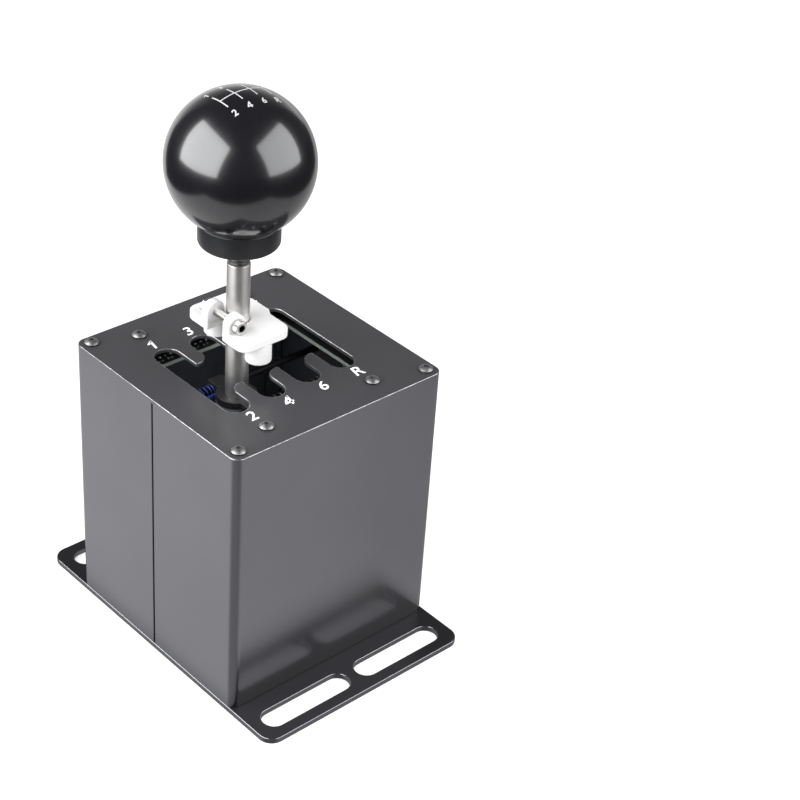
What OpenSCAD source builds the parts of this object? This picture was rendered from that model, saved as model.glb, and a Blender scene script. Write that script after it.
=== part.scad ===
// Sim racing gear shifter: a folded steel case with an H-pattern gate, a lever that swings on a
// pivot shaft and slides sideways on a sprung yoke, and a ball knob.
// The origin is the centre of the base plate's underside. X points to the driver's right,
// Y away from the driver and Z up. The lever stands in neutral, in line with gears 3 and 4.

/* [Base plate] */
// Width of the base plate and of the case
base_w = 100; // [96:1:116]
// Length of the base plate with both mounting flanges
base_l = 146; // [140:1:180]
// Thickness of the base plate
base_t = 2.5; // [2.2:0.1:4]
// Corner radius of the base plate
base_corner_r = 6; // [2:0.5:9]
// Length of a mounting slot from end to end
slot_l = 42; // [20:1:46]
// Width of a mounting slot
slot_w = 10; // [6:0.5:12]
// Distance between the centres of the two slots in a flange
slot_pitch = 47; // [44:1:52]
// Distance from a flange's end to its slots' centre line
slot_edge = 10.2; // [8:0.2:12]

/* [Case shells] */
// Depth of the case from front to back
case_d = 100; // [96:1:110]
// Height of the two folded shells
shell_h = 115; // [107:1:127]
// Thickness of the shells' sheet
sheet_t = 1.5; // [1:0.1:1.8]
// Outside radius of the shells' upright bends
bend_r = 4; // [3:0.5:5]
// Gap of the seam where the shells meet
seam_gap = 0.8; // [0.3:0.1:2]
// Width of a shell's fixing tab
tab_w = 14; // [10:1:18]
// Depth of a shell's fixing tab
tab_d = 10; // [9:0.5:14]
// Distance of a fixing tab from the middle of the case
tab_x = 25; // [18:1:30]

/* [Corner posts] */
// Radius of a corner post
post_r = 3; // [2.4:0.1:3.2]
// Distance of a post's axis from the case's outside faces
post_inset = 4.8; // [4.7:0.1:6]

/* [Gate plate] */
// Thickness of the gate plate
gate_t = 1.5; // [1.2:0.1:3]
// Offset of the gate from the middle of the case
gate_x = -2; // [-4:0.5:2]
// Distance between neighbouring lanes
lane_pitch = 17; // [15:0.5:18]
// Clear space on each side of the lever in a lane
lane_side = 0.85; // [0.5:0.05:1.5]
// Clear space past the lever at the end of a lane
lane_end_play = 0.7; // [0.4:0.1:1.5]
// Width of the neutral channel across the lanes
neutral_w = 19.5; // [14:0.5:22]
// Radius of the rounded corner of each finger
finger_r = 5; // [2:0.5:5.5]

/* [Fasteners] */
// Radius of the M3 screws
screw_r = 1.5; // [1.3:0.05:1.5]
// Radius of a button head
button_r = 2.85; // [2.5:0.05:3]
// Height of a button head
button_h = 1.65; // [1.2:0.05:1.8]
// Straight rim of a button head below its dome
button_rim = 0.4; // [0.2:0.05:0.6]
// Radius of a countersunk head
csk_r = 2.9; // [2.6:0.05:3]
// Distance of a countersunk head above the underside of the base
csk_sink = 0.1; // [0.05:0.05:0.2]
// Corner radius of a hex socket
socket_r = 1.15; // [0.9:0.05:1.2]
// Depth of a hex socket
socket_depth = 0.9; // [0.5:0.1:1.1]
// Width of a nut across its flats
nut_af = 5.5; // [5:0.1:5.8]
// Height of a nut
nut_h = 2.4; // [2:0.1:3]
// Length of a gate screw in its post
post_grip = 8; // [6:0.5:14]
// Length of a screw past its nut
screw_end = 0.6; // [0.3:0.1:1.5]

/* [Sensor board] */
// Length of the spacers between the gate plate and the board
board_drop = 6; // [5:0.2:8]
// Thickness of the board
board_t = 1.6; // [1:0.1:2]
// Width of the board beside its opening
board_rim = 5; // [4:0.5:6]
// Space between the lever and the board's opening
board_clear = 4; // [1:0.5:5]
// Space between the board's ends and the shells
board_gap = 3.5; // [2.5:0.5:6]
// Distance of the board's screws from its ends
board_screw_inset = 6; // [5:0.5:8]
// Outside radius of a board spacer
spacer_r = 3; // [2.5:0.1:4]
// Width of a position sensor
sensor_w = 4; // [3:0.5:5]
// Depth of a position sensor
sensor_d = 3; // [2:0.5:4]
// Height of a position sensor
sensor_h = 1.5; // [1:0.1:2]
// Width of the controller chip
chip_w = 7; // [5:0.5:9]
// Height of the controller chip
chip_h = 1.2; // [0.8:0.1:2]
// Distance of the chip from the gate's middle
chip_x = 13; // [9:1:14]
// Width of the socket's shell
usb_w = 8.9; // [8:0.1:10]
// Height of the socket's shell
usb_h = 3.2; // [3:0.1:3.5]
// Depth of the socket
usb_d = 7.3; // [6.5:0.1:9]
// Wall of the socket's shell
usb_wall = 0.3; // [0.2:0.05:0.4]
// Thickness of the socket's tongue
tongue_t = 0.7; // [0.5:0.1:0.9]
// Clear space around the socket in the shell
usb_clear = 0.3; // [0.2:0.05:0.5]
// Width of the board's ear that carries the socket
usb_ear_w = 16; // [13:0.5:18]
// Space between the socket's ear and the shell
usb_ear_gap = 0.8; // [0.4:0.1:2]

/* [Pivot] */
// Height of the pivot shaft above the base plate
pivot_h = 27.5; // [24:0.5:32]
// Radius of the pivot shaft
shaft_r = 4; // [3:0.25:5]
// Swing of the lever from neutral into a gear
shift_deg = 13; // [10:0.5:14]
// Space between the shaft's ends and the shells
shaft_end_gap = 0.5; // [0.3:0.1:1]
// Length of the shaft past its clips
shaft_stub = 0.6; // [0.4:0.1:1]
// Thickness of the brackets
bracket_t = 3; // [2:0.25:4]
// Width of a bracket at the base plate
bracket_w = 28; // [24:1:34]
// Radius of a bracket's head round the shaft
bracket_head_r = 9; // [7:0.5:10]
// Length of a bracket's foot
bracket_foot = 12; // [10:0.5:13]
// Distance of a bracket's screws from its edges
bracket_screw_inset = 5; // [4.5:0.1:6]
// Thickness of the retaining clips
clip_t = 0.8; // [0.5:0.1:1]
// Width of a clip's ring round its groove
clip_ring = 2.2; // [1.5:0.1:3]
// Depth of a clip's groove in the pivot shaft
clip_groove = 0.6; // [0.3:0.1:0.8]

/* [Yoke] */
// Thickness of the yoke's arms
arm_t = 2.5; // [2:0.1:3]
// Radius of an arm's lower end
arm_foot_r = 10; // [9:0.5:12]
// Radius of an arm's two upper ears
arm_ear_r = 5; // [4:0.25:6]
// Wall of the bushes
bush_wall = 1.5; // [1:0.1:2]
// Radius of an arm bush's flange
bush_flange_r = 8; // [7:0.25:9]
// Thickness of an arm bush's flange
bush_flange_t = 2.4; // [1:0.1:3]
// Radius of the two cross rods
rod_r = 1.5; // [1.25:0.05:1.6]
// Distance of the cross rods from the middle of the yoke
rod_y = 10; // [9.5:0.25:12]
// Distance of the cross rods below the board
rod_drop = 5.9; // [5:0.1:8]
// Depth of a clip's groove in a cross rod
rod_groove = 0.4; // [0.2:0.1:0.5]
// Length of a cross rod past its clips
rod_stub = 0.4; // [0.3:0.1:0.6]
// Width of the window in each arm
window_w = 9; // [6:0.5:10]
// Distance of the window from the arm's pivot and rods
window_end = 17; // [15:0.5:22]

/* [Centring springs] */
// Wire diameter of the springs
wire_d = 0.7; // [0.5:0.05:0.75]
// Radius of the springs to the middle of the wire
coil_r = 2.2; // [2.15:0.05:2.4]
// Number of turns in the left spring
left_turns = 17; // [10:1:17]
// Number of turns in the right spring
right_turns = 20; // [12:1:20]

/* [Lever] */
// Radius of the lever
lever_r = 4.45; // [4.1:0.05:5]
// Height of the lever's shoulder above the gate
lever_up = 45; // [40:1:47]
// Radius of the threaded stud for the knob
stud_r = 4; // [3:0.25:4]
// Chamfer of the lever's shoulder
lever_chamfer = 0.4; // [0.2:0.1:0.8]
// Width of the foot block along the shaft
foot_w = 16; // [14:0.5:18]
// Radius of the foot block round the shaft
foot_r = 9; // [8:0.25:10]
// Height of the foot block above the shaft
foot_h = 18; // [16:0.5:24]
// Floor of the lever's seat above the shaft
foot_floor = 7; // [6.5:0.1:8]
// Radius of the boss of the guide hub
hub_boss_r = 8; // [7:0.25:8]
// Width of the guide hub's ears
hub_ear_w = 7; // [6:0.5:11]
// Height of the guide hub
hub_h = 6; // [5.5:0.25:9]
// Length of the ears past the cross rods
hub_ear_end = 3.6; // [3.2:0.1:4]
// Radius of the grub screws
grub_r = 2; // [1.5:0.25:2.25]
// Radius of the hub's magnets
magnet_r = 2; // [1.5:0.25:2.5]
// Thickness of the hub's magnets
magnet_t = 1.4; // [1:0.1:1.6]

/* [Knob] */
// Radius of the ball
ball_r = 27.5; // [24:0.5:30]
// Height of the ball's centre above the gate
ball_up = 85.3; // [83:0.1:92]
// Radius of the collar under the ball
collar_r = 15.3; // [12:0.1:18]
// Depth of the collar below the ball
collar_lip = 4.6; // [2:0.1:6]
// Radius of the collar's rounded lower edge
collar_round = 1.6; // [0.5:0.1:2]
// Radius of the threaded insert
insert_r = 7; // [5.5:0.25:9]
// Length of the threaded insert
insert_l = 19; // [17:0.5:24]
// Distance of the insert above the ball's lowest point
insert_sink = 1.4; // [1.2:0.1:3]
// Length of the stud in the insert
stud_grip = 15; // [10:0.5:16]

/* [Saddle] */
// Height of the saddle's top above the gate
saddle_up = 21; // [19:0.5:26]
// Thickness of the saddle's plate
saddle_t = 4; // [3:0.25:5]
// Length of the saddle along the lanes
saddle_l = 35; // [30:0.5:35]
// Reach of the saddle on its open side
saddle_open = 11; // [11:0.25:14]
// Reach of the saddle on its closed side
saddle_back = 11.8; // [9:0.2:14]
// Extra reach of the bridge behind the lever
bridge_reach = 1.7; // [0.5:0.1:3]
// Reach of the bridge towards the driver, in front of the lever's axis
bridge_front = 1.8; // [1:0.2:4]
// Length of the slope at each end of the bridge
bridge_slope = 3; // [1:0.2:4]
// Corner radius of the saddle
saddle_corner_r = 4; // [1:0.25:4.5]
// Radius of the saddle's pegs
peg_r = 5; // [4:0.1:5.2]
// Distance of the pegs from the lever
peg_y = 12.5; // [11:0.25:12.75]
// Length of the pegs below the plate
peg_l = 8; // [4:0.25:8.5]
// Thickness of the two clamp ears
ear_t = 3.5; // [2.5:0.25:4]
// Radius of the clamp ears
ear_r = 4.2; // [3.5:0.1:4.4]
// Height of the clamp screw above the saddle's top
ear_up = 2.9; // [2.8:0.1:4]
// Radius of the clamp screw's head
cap_r = 2.75; // [2.4:0.05:2.8]
// Height of the clamp screw's head
cap_h = 3; // [2:0.1:3.5]

/* [Fits] */
// Radial clearance of fixed and running fits
fit = 0.05; // [0.03:0.01:0.08]
// Free play between faces that slide past each other
face_play = 0.1; // [0.05:0.05:0.15]
// Space between the clamp screw and the lever
clamp_gap = 0.8; // [0.1:0.05:0.8]

/* [Hidden] */
$fn = 64;
eps = 0.01;
through = 1;
lanes = 4;
tube_sides = 6;
coil_rings = 8;
hex_sides = 6;

// Heights
gate_bottom = base_t + shell_h;
gate_top = gate_bottom + gate_t;
board_top = gate_bottom - board_drop;
board_bottom = board_top - board_t;
pivot_z = base_t + pivot_h;
rod_z = board_bottom - rod_drop;
rod_up = rod_z - pivot_z;

// Places across the case, worked inwards from the shells
shell_in = base_w / 2 - sheet_t;
shaft_half = shell_in - shaft_end_gap;
clip_x = shaft_half - shaft_stub - clip_t;
arm_x = clip_x - face_play - arm_t;
bracket_x = arm_x - bush_flange_t - face_play - bracket_t;
rod_half = arm_x + arm_t + face_play + clip_t + rod_stub;
post_x = base_w / 2 - post_inset;
post_y = case_d / 2 - post_inset;
wall_in = case_d / 2 - sheet_t;
tab_y = wall_in - tab_d / 2;
slot_y = base_l / 2 - slot_edge;
bracket_screw_x = bracket_x - bracket_foot + bracket_screw_inset;
bracket_screw_y = bracket_w / 2 - bracket_screw_inset;

// Gate and lever
lane_w = 2 * (lever_r + lane_side);
lane_span = (lanes - 1) * lane_pitch;
lane_xs = [for (i = [0 : lanes - 1]) gate_x - lane_span / 2 + i * lane_pitch];
lane_end = (gate_top - pivot_z) * tan(shift_deg) + lever_r / cos(shift_deg) + lane_end_play;
lever_x = lane_xs[1];
lever_bottom = pivot_z + foot_floor;
lever_top = gate_top + lever_up;
grub_z = pivot_z + (foot_floor + foot_h) / 2;

// Board
open_half_x = lane_span / 2 + lever_r + board_clear;
open_half_y = lane_end + lane_end_play;
board_half_x = open_half_x + board_rim;
board_half_y = wall_in - board_gap;
board_screw_y = board_half_y - board_screw_inset;
sensor_y = open_half_y + sensor_d;
usb_z = board_bottom - usb_h / 2;
usb_back = case_d / 2 - usb_d;
usb_ear_y = wall_in - usb_ear_gap;

// Knob
ball_z = gate_top + ball_up;
collar_bottom = ball_z - ball_r - collar_lip;
insert_bottom = ball_z - ball_r + insert_sink;
stud_top = insert_bottom + stud_grip;
button_dome = (pow(button_r, 2) + pow(button_h - button_rim, 2)) / (2 * (button_h - button_rim));

// Saddle
saddle_z = gate_top + saddle_up;
saddle_slot = lever_r + fit;
clamp_x = lever_x - lever_r - screw_r - clamp_gap;
clamp_z = saddle_z + ear_up;
ear_out = saddle_slot + ear_t;

// Springs
left_spring_x = -arm_x + fit;
left_spring_l = lever_x - hub_ear_w / 2 - fit - left_spring_x;
right_spring_x = lever_x + hub_ear_w / 2 + fit;
right_spring_l = arm_x - fit - right_spring_x;
left_path = coil_path(left_spring_l, left_turns);
right_path = coil_path(right_spring_l, right_turns);
echo(least_gap_of_left_spring = least_gap(left_path), least_gap_of_right_spring = least_gap(right_path));

// Shared shapes

function unit(v) = v / norm(v);

// Centre line of a spring along X: a straight start, its turns and a straight end.
function coil_path(length, turns) = let (
        steps = turns * coil_rings,
        run = length - 2 * wire_d
    ) concat(
        [[0, coil_r, 0]],
        [for (i = [0 : steps]) let (a = 360 * i / coil_rings)
            [wire_d + run * i / steps, coil_r * cos(a), coil_r * sin(a)]],
        [[length, coil_r * cos(360 * turns), coil_r * sin(360 * turns)]]
    );

// One ring of points round a spring's wire.
function wire_ring(path, i) = let (
        p = path[i],
        t = unit(path[min(i + 1, len(path) - 1)] - path[max(i - 1, 0)]),
        outward = unit([0, p.y, p.z]),
        n = unit(outward - (outward * t) * t),
        b = cross(t, n)
    ) [for (k = [0 : tube_sides - 1]) let (a = 360 * k / tube_sides) p + wire_d / 2 * (cos(a) * n + sin(a) * b)];

// Least space between neighbouring turns, measured between points of the centre line.
function least_gap(path) = min([
        for (i = [0 : len(path) - 1])
            for (j = [i + coil_rings - 2 : 1 : len(path) - 1]) norm(path[i] - path[j])
    ]) - wire_d;

module wire_tube(path) {
    last = len(path) - 1;
    sides = [for (i = [0 : last - 1]) for (k = [0 : tube_sides - 1]) let (
            next = (k + 1) % tube_sides,
            low = i * tube_sides,
            high = low + tube_sides
        ) each [[low + k, high + next, low + next], [low + k, high + k, high + next]]];
    start = [for (k = [1 : tube_sides - 2]) [0, k, k + 1]];
    end = [for (k = [1 : tube_sides - 2]) [0, k + 1, k] + last * tube_sides * [1, 1, 1]];
    polyhedron(
        points = [for (i = [0 : last]) each wire_ring(path, i)],
        faces = concat(start, sides, end)
    );
}

module rounded_rect(w, d, r) {
    square([w - 2 * r, d], center = true);
    square([w, d - 2 * r], center = true);
    for (sx = [-1, 1], sy = [-1, 1])
        translate([sx * (w / 2 - r), sy * (d / 2 - r)])
            circle(r);
}

module obround(length, width) {
    square([length - width, width], center = true);
    for (s = [-1, 1])
        translate([s * (length - width) / 2, 0])
            circle(width / 2);
}

// A solid along X whose outline is drawn in Y and Z, starting at x.
module along_x(x, length) {
    translate([x, 0, 0])
        rotate([90, 0, 90])
            linear_extrude(length)
                children();
}

// A solid along Y whose outline is drawn in X and Z, starting at y.
module along_y(y, length) {
    translate([0, y + length, 0])
        rotate([90, 0, 0])
            linear_extrude(length)
                children();
}

module rod_x(x, length, r) {
    translate([x, 0, 0])
        rotate([0, 90, 0])
            cylinder(r = r, h = length);
}

module rod_y_axis(y, length, r) {
    translate([0, y, 0])
        rotate([-90, 0, 0])
            cylinder(r = r, h = length);
}

module ring(r_out, r_in, h) {
    difference() {
        cylinder(r = r_out, h = h);
        translate([0, 0, -through])
            cylinder(r = r_in, h = h + 2 * through);
    }
}

module hex_nut(h) {
    difference() {
        cylinder(r = nut_af / 2 / cos(180 / hex_sides), h = h, $fn = hex_sides);
        translate([0, 0, -through])
            cylinder(r = screw_r + fit, h = h + 2 * through);
    }
}

module hex_socket() {
    cylinder(r = socket_r, h = socket_depth + eps, $fn = hex_sides);
}

// A button-head screw that hangs down from z = 0, with its head above.
module button_screw(length) {
    difference() {
        union() {
            translate([0, 0, -length])
                cylinder(r = screw_r, h = length);
            rotate_extrude()
                intersection() {
                    square([button_r, button_h]);
                    translate([0, button_h - button_dome])
                        circle(button_dome);
                }
        }
        translate([0, 0, button_h - socket_depth])
            hex_socket();
    }
}

// A countersunk screw that stands up from z = 0, with its head below.
module countersunk_screw(length) {
    difference() {
        union() {
            cylinder(r1 = csk_r, r2 = screw_r, h = csk_r - screw_r);
            cylinder(r = screw_r, h = length);
        }
        translate([0, 0, -eps])
            hex_socket();
    }
}

module countersunk_hole(depth) {
    translate([0, 0, csk_sink])
        cylinder(r1 = csk_r + fit, r2 = screw_r + fit, h = csk_r - screw_r);
    translate([0, 0, -through])
        cylinder(r = csk_r + fit, h = csk_sink + through);
    cylinder(r = screw_r + fit, h = depth);
}

module at_posts() {
    for (sx = [-1, 1], sy = [-1, 1])
        translate([sx * post_x, sy * post_y, 0])
            children();
}

module at_tabs() {
    for (sx = [-1, 1], sy = [-1, 1])
        translate([sx * tab_x, sy * tab_y, 0])
            children();
}

module at_bracket_screws() {
    for (sx = [-1, 1], sy = [-1, 1])
        translate([sx * bracket_screw_x, sy * bracket_screw_y, 0])
            children();
}

module at_board_screws() {
    for (x = [lane_xs[0], lane_xs[lanes - 1]], sy = [-1, 1])
        translate([x, sy * board_screw_y, 0])
            children();
}

// Base and case

module base_plate() {
    color("dimgray")
        difference() {
            linear_extrude(base_t)
                difference() {
                    rounded_rect(base_w, base_l, base_corner_r);
                    for (sx = [-1, 1], sy = [-1, 1])
                        translate([sx * slot_pitch / 2, sy * slot_y])
                            obround(slot_l, slot_w);
                }
            at_posts() countersunk_hole(base_t + through);
            at_tabs() countersunk_hole(base_t + through);
            at_bracket_screws() countersunk_hole(base_t + through);
        }
}

// The front half of the case: a sheet folded round two upright bends, with two tabs on the base.
module half_shell() {
    difference() {
        union() {
            translate([0, 0, base_t])
                linear_extrude(shell_h)
                    intersection() {
                        difference() {
                            rounded_rect(base_w, case_d, bend_r);
                            rounded_rect(base_w - 2 * sheet_t, case_d - 2 * sheet_t, bend_r - sheet_t);
                        }
                        translate([-base_w / 2, -case_d / 2])
                            square([base_w, case_d / 2 - seam_gap / 2]);
                    }
            for (s = [-1, 1])
                translate([s * tab_x - tab_w / 2, -wall_in - eps, base_t])
                    cube([tab_w, tab_d + eps, sheet_t]);
        }
        at_tabs()
            cylinder(r = screw_r + fit, h = base_t + sheet_t + through);
    }
}

module front_shell() {
    color("slategray")
        half_shell();
}

module rear_shell() {
    color("slategray")
        difference() {
            rotate([0, 0, 180])
                half_shell();
            translate([gate_x, 0, usb_z])
                along_y(wall_in - through, sheet_t + 2 * through)
                    obround(usb_w + 2 * usb_clear, usb_h + 2 * usb_clear);
        }
}

module corner_posts() {
    color("silver")
        at_posts()
            difference() {
                translate([0, 0, base_t])
                    cylinder(r = post_r, h = shell_h);
                cylinder(r = screw_r + fit, h = base_t + post_grip + through);
                translate([0, 0, gate_bottom - post_grip - through])
                    cylinder(r = screw_r + fit, h = post_grip + 2 * through);
            }
}

module post_screws() {
    color("darkgray")
        at_posts()
            translate([0, 0, csk_sink])
                countersunk_screw(base_t + post_grip);
}

module tab_screws() {
    color("darkgray")
        at_tabs()
            translate([0, 0, csk_sink])
                countersunk_screw(base_t + sheet_t + nut_h + screw_end);
}

module tab_nuts() {
    color("silver")
        at_tabs()
            translate([0, 0, base_t + sheet_t])
                hex_nut(nut_h);
}

// Gate and sensor board

// One finger's corner, rounded on the side that leads into the next lane.
module finger_corner() {
    difference() {
        square([finger_r, finger_r]);
        translate([finger_r, 0])
            circle(finger_r);
    }
}

module gate_pattern() {
    for (x = lane_xs)
        translate([x, 0])
            rotate(90)
                obround(2 * lane_end, lane_w);
    translate([gate_x, 0])
        square([lane_span + lane_w, neutral_w], center = true);
    for (turn = [0, 180])
        translate([gate_x, 0])
            rotate(turn)
                for (i = [0 : lanes - 2])
                    translate([-lane_span / 2 + lane_w / 2 + i * lane_pitch, -neutral_w / 2 - finger_r])
                        finger_corner();
}

module gate_plate() {
    color("dimgray")
        translate([0, 0, gate_bottom])
            difference() {
                linear_extrude(gate_t)
                    difference() {
                        rounded_rect(base_w, case_d, bend_r);
                        gate_pattern();
                    }
                translate([0, 0, -through]) {
                    at_posts() cylinder(r = screw_r + fit, h = gate_t + 2 * through);
                    at_board_screws() cylinder(r = screw_r + fit, h = gate_t + 2 * through);
                }
            }
}

module gate_screws() {
    color("gray")
        at_posts()
            translate([0, 0, gate_top])
                button_screw(gate_t + post_grip);
}

module board_screws() {
    color("gray")
        at_board_screws()
            translate([0, 0, gate_top])
                button_screw(gate_t + board_drop + board_t + nut_h + screw_end);
}

module board_spacers() {
    color("white")
        at_board_screws()
            translate([0, 0, board_top])
                ring(spacer_r, screw_r + fit, board_drop);
}

module board_nuts() {
    color("silver")
        at_board_screws()
            translate([0, 0, board_bottom - nut_h])
                hex_nut(nut_h);
}

module sensor_board() {
    color("black")
        translate([0, 0, board_bottom])
            difference() {
                linear_extrude(board_t)
                    difference() {
                        translate([gate_x, 0]) {
                            square([2 * board_half_x, 2 * board_half_y], center = true);
                            translate([-usb_ear_w / 2, 0])
                                square([usb_ear_w, usb_ear_y]);
                        }
                        translate([gate_x, 0])
                            square([2 * open_half_x, 2 * open_half_y], center = true);
                    }
                translate([0, 0, -through])
                    at_board_screws()
                        cylinder(r = screw_r + fit, h = board_t + 2 * through);
            }
}

module position_sensors() {
    color("black")
        for (x = lane_xs, sy = [-1, 1])
            translate([x - sensor_w / 2, sy * sensor_y - sensor_d / 2, board_bottom - sensor_h])
                cube([sensor_w, sensor_d, sensor_h]);
}

module controller_chip() {
    color("black")
        translate([gate_x + chip_x - chip_w / 2, board_screw_y - chip_w / 2, board_bottom - chip_h])
            cube([chip_w, chip_w, chip_h]);
}

module usb_socket() {
    color("silver")
        translate([gate_x, 0, usb_z]) {
            difference() {
                along_y(usb_back, usb_d)
                    obround(usb_w, usb_h);
                along_y(usb_back + 2 * usb_wall, usb_d)
                    obround(usb_w - 2 * usb_wall, usb_h - 2 * usb_wall);
            }
            along_y(usb_back + usb_wall, usb_d - 3 * usb_wall)
                square([usb_w - usb_h, tongue_t], center = true);
        }
}

// Pivot

module bracket() {
    difference() {
        union() {
            along_x(bracket_x, bracket_t)
                hull() {
                    translate([0, pivot_z])
                        circle(bracket_head_r, $fn = 32);
                    translate([-bracket_w / 2, base_t])
                        square([bracket_w, bracket_t]);
                }
            translate([bracket_x - bracket_foot, -bracket_w / 2, base_t])
                cube([bracket_foot + bracket_t, bracket_w, bracket_t]);
        }
        translate([0, 0, pivot_z])
            rod_x(bracket_x - through, bracket_t + 2 * through, shaft_r + fit);
        at_bracket_screws()
            cylinder(r = screw_r + fit, h = base_t + bracket_t + through);
    }
}

module left_bracket() {
    color("darkgray")
        mirror([1, 0, 0])
            bracket();
}

module right_bracket() {
    color("darkgray")
        bracket();
}

module bracket_screws() {
    color("darkgray")
        at_bracket_screws()
            translate([0, 0, csk_sink])
                countersunk_screw(base_t + bracket_t);
}

module pivot_shaft() {
    color("silver")
        translate([0, 0, pivot_z])
            difference() {
                rod_x(-shaft_half, 2 * shaft_half, shaft_r);
                for (side = [0, 1])
                    mirror([side, 0, 0])
                        translate([clip_x, 0, 0])
                            rotate([0, 90, 0])
                                ring(shaft_r + through, shaft_r - clip_groove, clip_t);
            }
}

// A retaining clip: a flat ring, open downwards, whose bore sits in a groove.
module retaining_clip(r_in) {
    rotate([0, 90, 0])
        difference() {
            ring(r_in + clip_ring, r_in, clip_t);
            translate([0, -r_in / 2, -through])
                cube([r_in + clip_ring + through, r_in, clip_t + 2 * through]);
        }
}

module shaft_clips() {
    color("gray")
        for (side = [0, 1])
            mirror([side, 0, 0])
                translate([clip_x, 0, pivot_z])
                    retaining_clip(shaft_r - clip_groove + fit);
}

// Yoke

module arm() {
    difference() {
        along_x(arm_x, arm_t)
            difference() {
                hull() {
                    translate([0, pivot_z])
                        circle(arm_foot_r, $fn = 32);
                    for (s = [-1, 1])
                        translate([s * rod_y, rod_z])
                            circle(arm_ear_r, $fn = 32);
                }
                translate([0, pivot_z + rod_up / 2])
                    rotate(90)
                        obround(rod_up - 2 * window_end, window_w);
            }
        translate([0, 0, pivot_z])
            rod_x(arm_x - through, arm_t + 2 * through, shaft_r + bush_wall + 2 * fit);
        for (s = [-1, 1])
            translate([0, s * rod_y, rod_z])
                rod_x(arm_x - through, arm_t + 2 * through, rod_r + fit);
    }
}

module left_arm() {
    color("gray")
        mirror([1, 0, 0])
            arm();
}

module right_arm() {
    color("gray")
        arm();
}

module arm_bushes() {
    color("goldenrod")
        for (side = [0, 1])
            mirror([side, 0, 0])
                translate([arm_x, 0, pivot_z])
                    rotate([0, 90, 0]) {
                        ring(shaft_r + bush_wall + fit, shaft_r + fit, arm_t);
                        translate([0, 0, -bush_flange_t])
                            ring(bush_flange_r, shaft_r + fit, bush_flange_t);
                    }
}

module cross_rod(y) {
    translate([0, y, rod_z])
        difference() {
            rod_x(-rod_half, 2 * rod_half, rod_r);
            for (side = [0, 1])
                mirror([side, 0, 0])
                    translate([rod_half - rod_stub - clip_t, 0, 0])
                        rotate([0, 90, 0])
                            ring(rod_r + through, rod_r - rod_groove, clip_t);
        }
}

module front_rod() {
    color("silver")
        cross_rod(-rod_y);
}

module rear_rod() {
    color("silver")
        cross_rod(rod_y);
}

module rod_clips() {
    color("gray")
        for (side = [0, 1], s = [-1, 1])
            mirror([side, 0, 0])
                translate([rod_half - rod_stub - clip_t, s * rod_y, rod_z])
                    retaining_clip(rod_r - rod_groove + fit);
}

module left_spring() {
    color("royalblue")
        translate([left_spring_x, rod_y, rod_z])
            wire_tube(left_path);
}

module right_spring() {
    color("royalblue")
        translate([right_spring_x, -rod_y, rod_z])
            wire_tube(right_path);
}

// Lever

module lever_rod() {
    color("lightgray")
        translate([lever_x, 0, 0]) {
            translate([0, 0, lever_bottom])
                cylinder(r = lever_r, h = lever_top - lever_chamfer - lever_bottom);
            translate([0, 0, lever_top - lever_chamfer])
                cylinder(r1 = lever_r, r2 = lever_r - lever_chamfer, h = lever_chamfer);
            translate([0, 0, lever_bottom])
                cylinder(r = stud_r, h = stud_top - lever_bottom);
        }
}

module foot_block() {
    color("dimgray")
        difference() {
            along_x(lever_x - foot_w / 2, foot_w)
                translate([0, pivot_z]) {
                    circle(foot_r);
                    translate([-foot_r, 0])
                        square([2 * foot_r, foot_h]);
                }
            translate([0, 0, pivot_z])
                rod_x(lever_x - foot_w / 2 - through, foot_w + 2 * through, shaft_r + bush_wall + 2 * fit);
            translate([lever_x, 0, lever_bottom])
                cylinder(r = lever_r + fit, h = foot_h);
            translate([lever_x, 0, grub_z])
                rod_y_axis(-foot_r - through, foot_r + through, grub_r + fit);
        }
}

module foot_bushes() {
    color("goldenrod")
        for (side = [0, 1])
            translate([lever_x, 0, pivot_z])
                mirror([side, 0, 0])
                    rotate([0, 90, 0])
                        translate([0, 0, fit])
                            ring(shaft_r + bush_wall + fit, shaft_r + fit, foot_w / 2 - fit);
}

module guide_hub() {
    color("dimgray")
        translate([lever_x, 0, rod_z])
            difference() {
                union() {
                    cylinder(r = hub_boss_r, h = hub_h, center = true);
                    cube([hub_ear_w, 2 * (rod_y + hub_ear_end), hub_h], center = true);
                }
                cylinder(r = lever_r + fit, h = hub_h + 2 * through, center = true);
                for (s = [-1, 1])
                    translate([0, s * rod_y, 0])
                        rod_x(-hub_ear_w / 2 - through, hub_ear_w + 2 * through, rod_r + fit);
                rod_x(0, hub_boss_r + through, grub_r + fit);
                for (turn = [0, 180])
                    rotate([0, 0, turn])
                        rod_y_axis(rod_y + hub_ear_end - magnet_t, magnet_t + through, magnet_r + fit);
            }
}

// A grub screw along X, from the lever's side out to a block's face.
module grub(face) {
    difference() {
        rod_x(lever_r + fit, face - lever_r - fit, grub_r);
        translate([face - socket_depth, 0, 0])
            rotate([0, 90, 0])
                hex_socket();
    }
}

module grub_screws() {
    color("black")
        translate([lever_x, 0, 0]) {
            translate([0, 0, grub_z])
                rotate([0, 0, -90])
                    grub(foot_r);
            translate([0, 0, rod_z])
                grub(hub_boss_r);
        }
}

module hub_magnets() {
    color("silver")
        translate([lever_x, 0, rod_z])
            for (turn = [0, 180])
                rotate([0, 0, turn])
                    rod_y_axis(rod_y + hub_ear_end - magnet_t, magnet_t, magnet_r);
}

// Knob

module knob() {
    color("black")
        translate([lever_x, 0, 0])
            difference() {
                translate([0, 0, ball_z])
                    sphere(ball_r);
                translate([0, 0, ball_z - ball_r - through])
                    cylinder(r = insert_r + fit, h = insert_sink + insert_l + through);
            }
}

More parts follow.
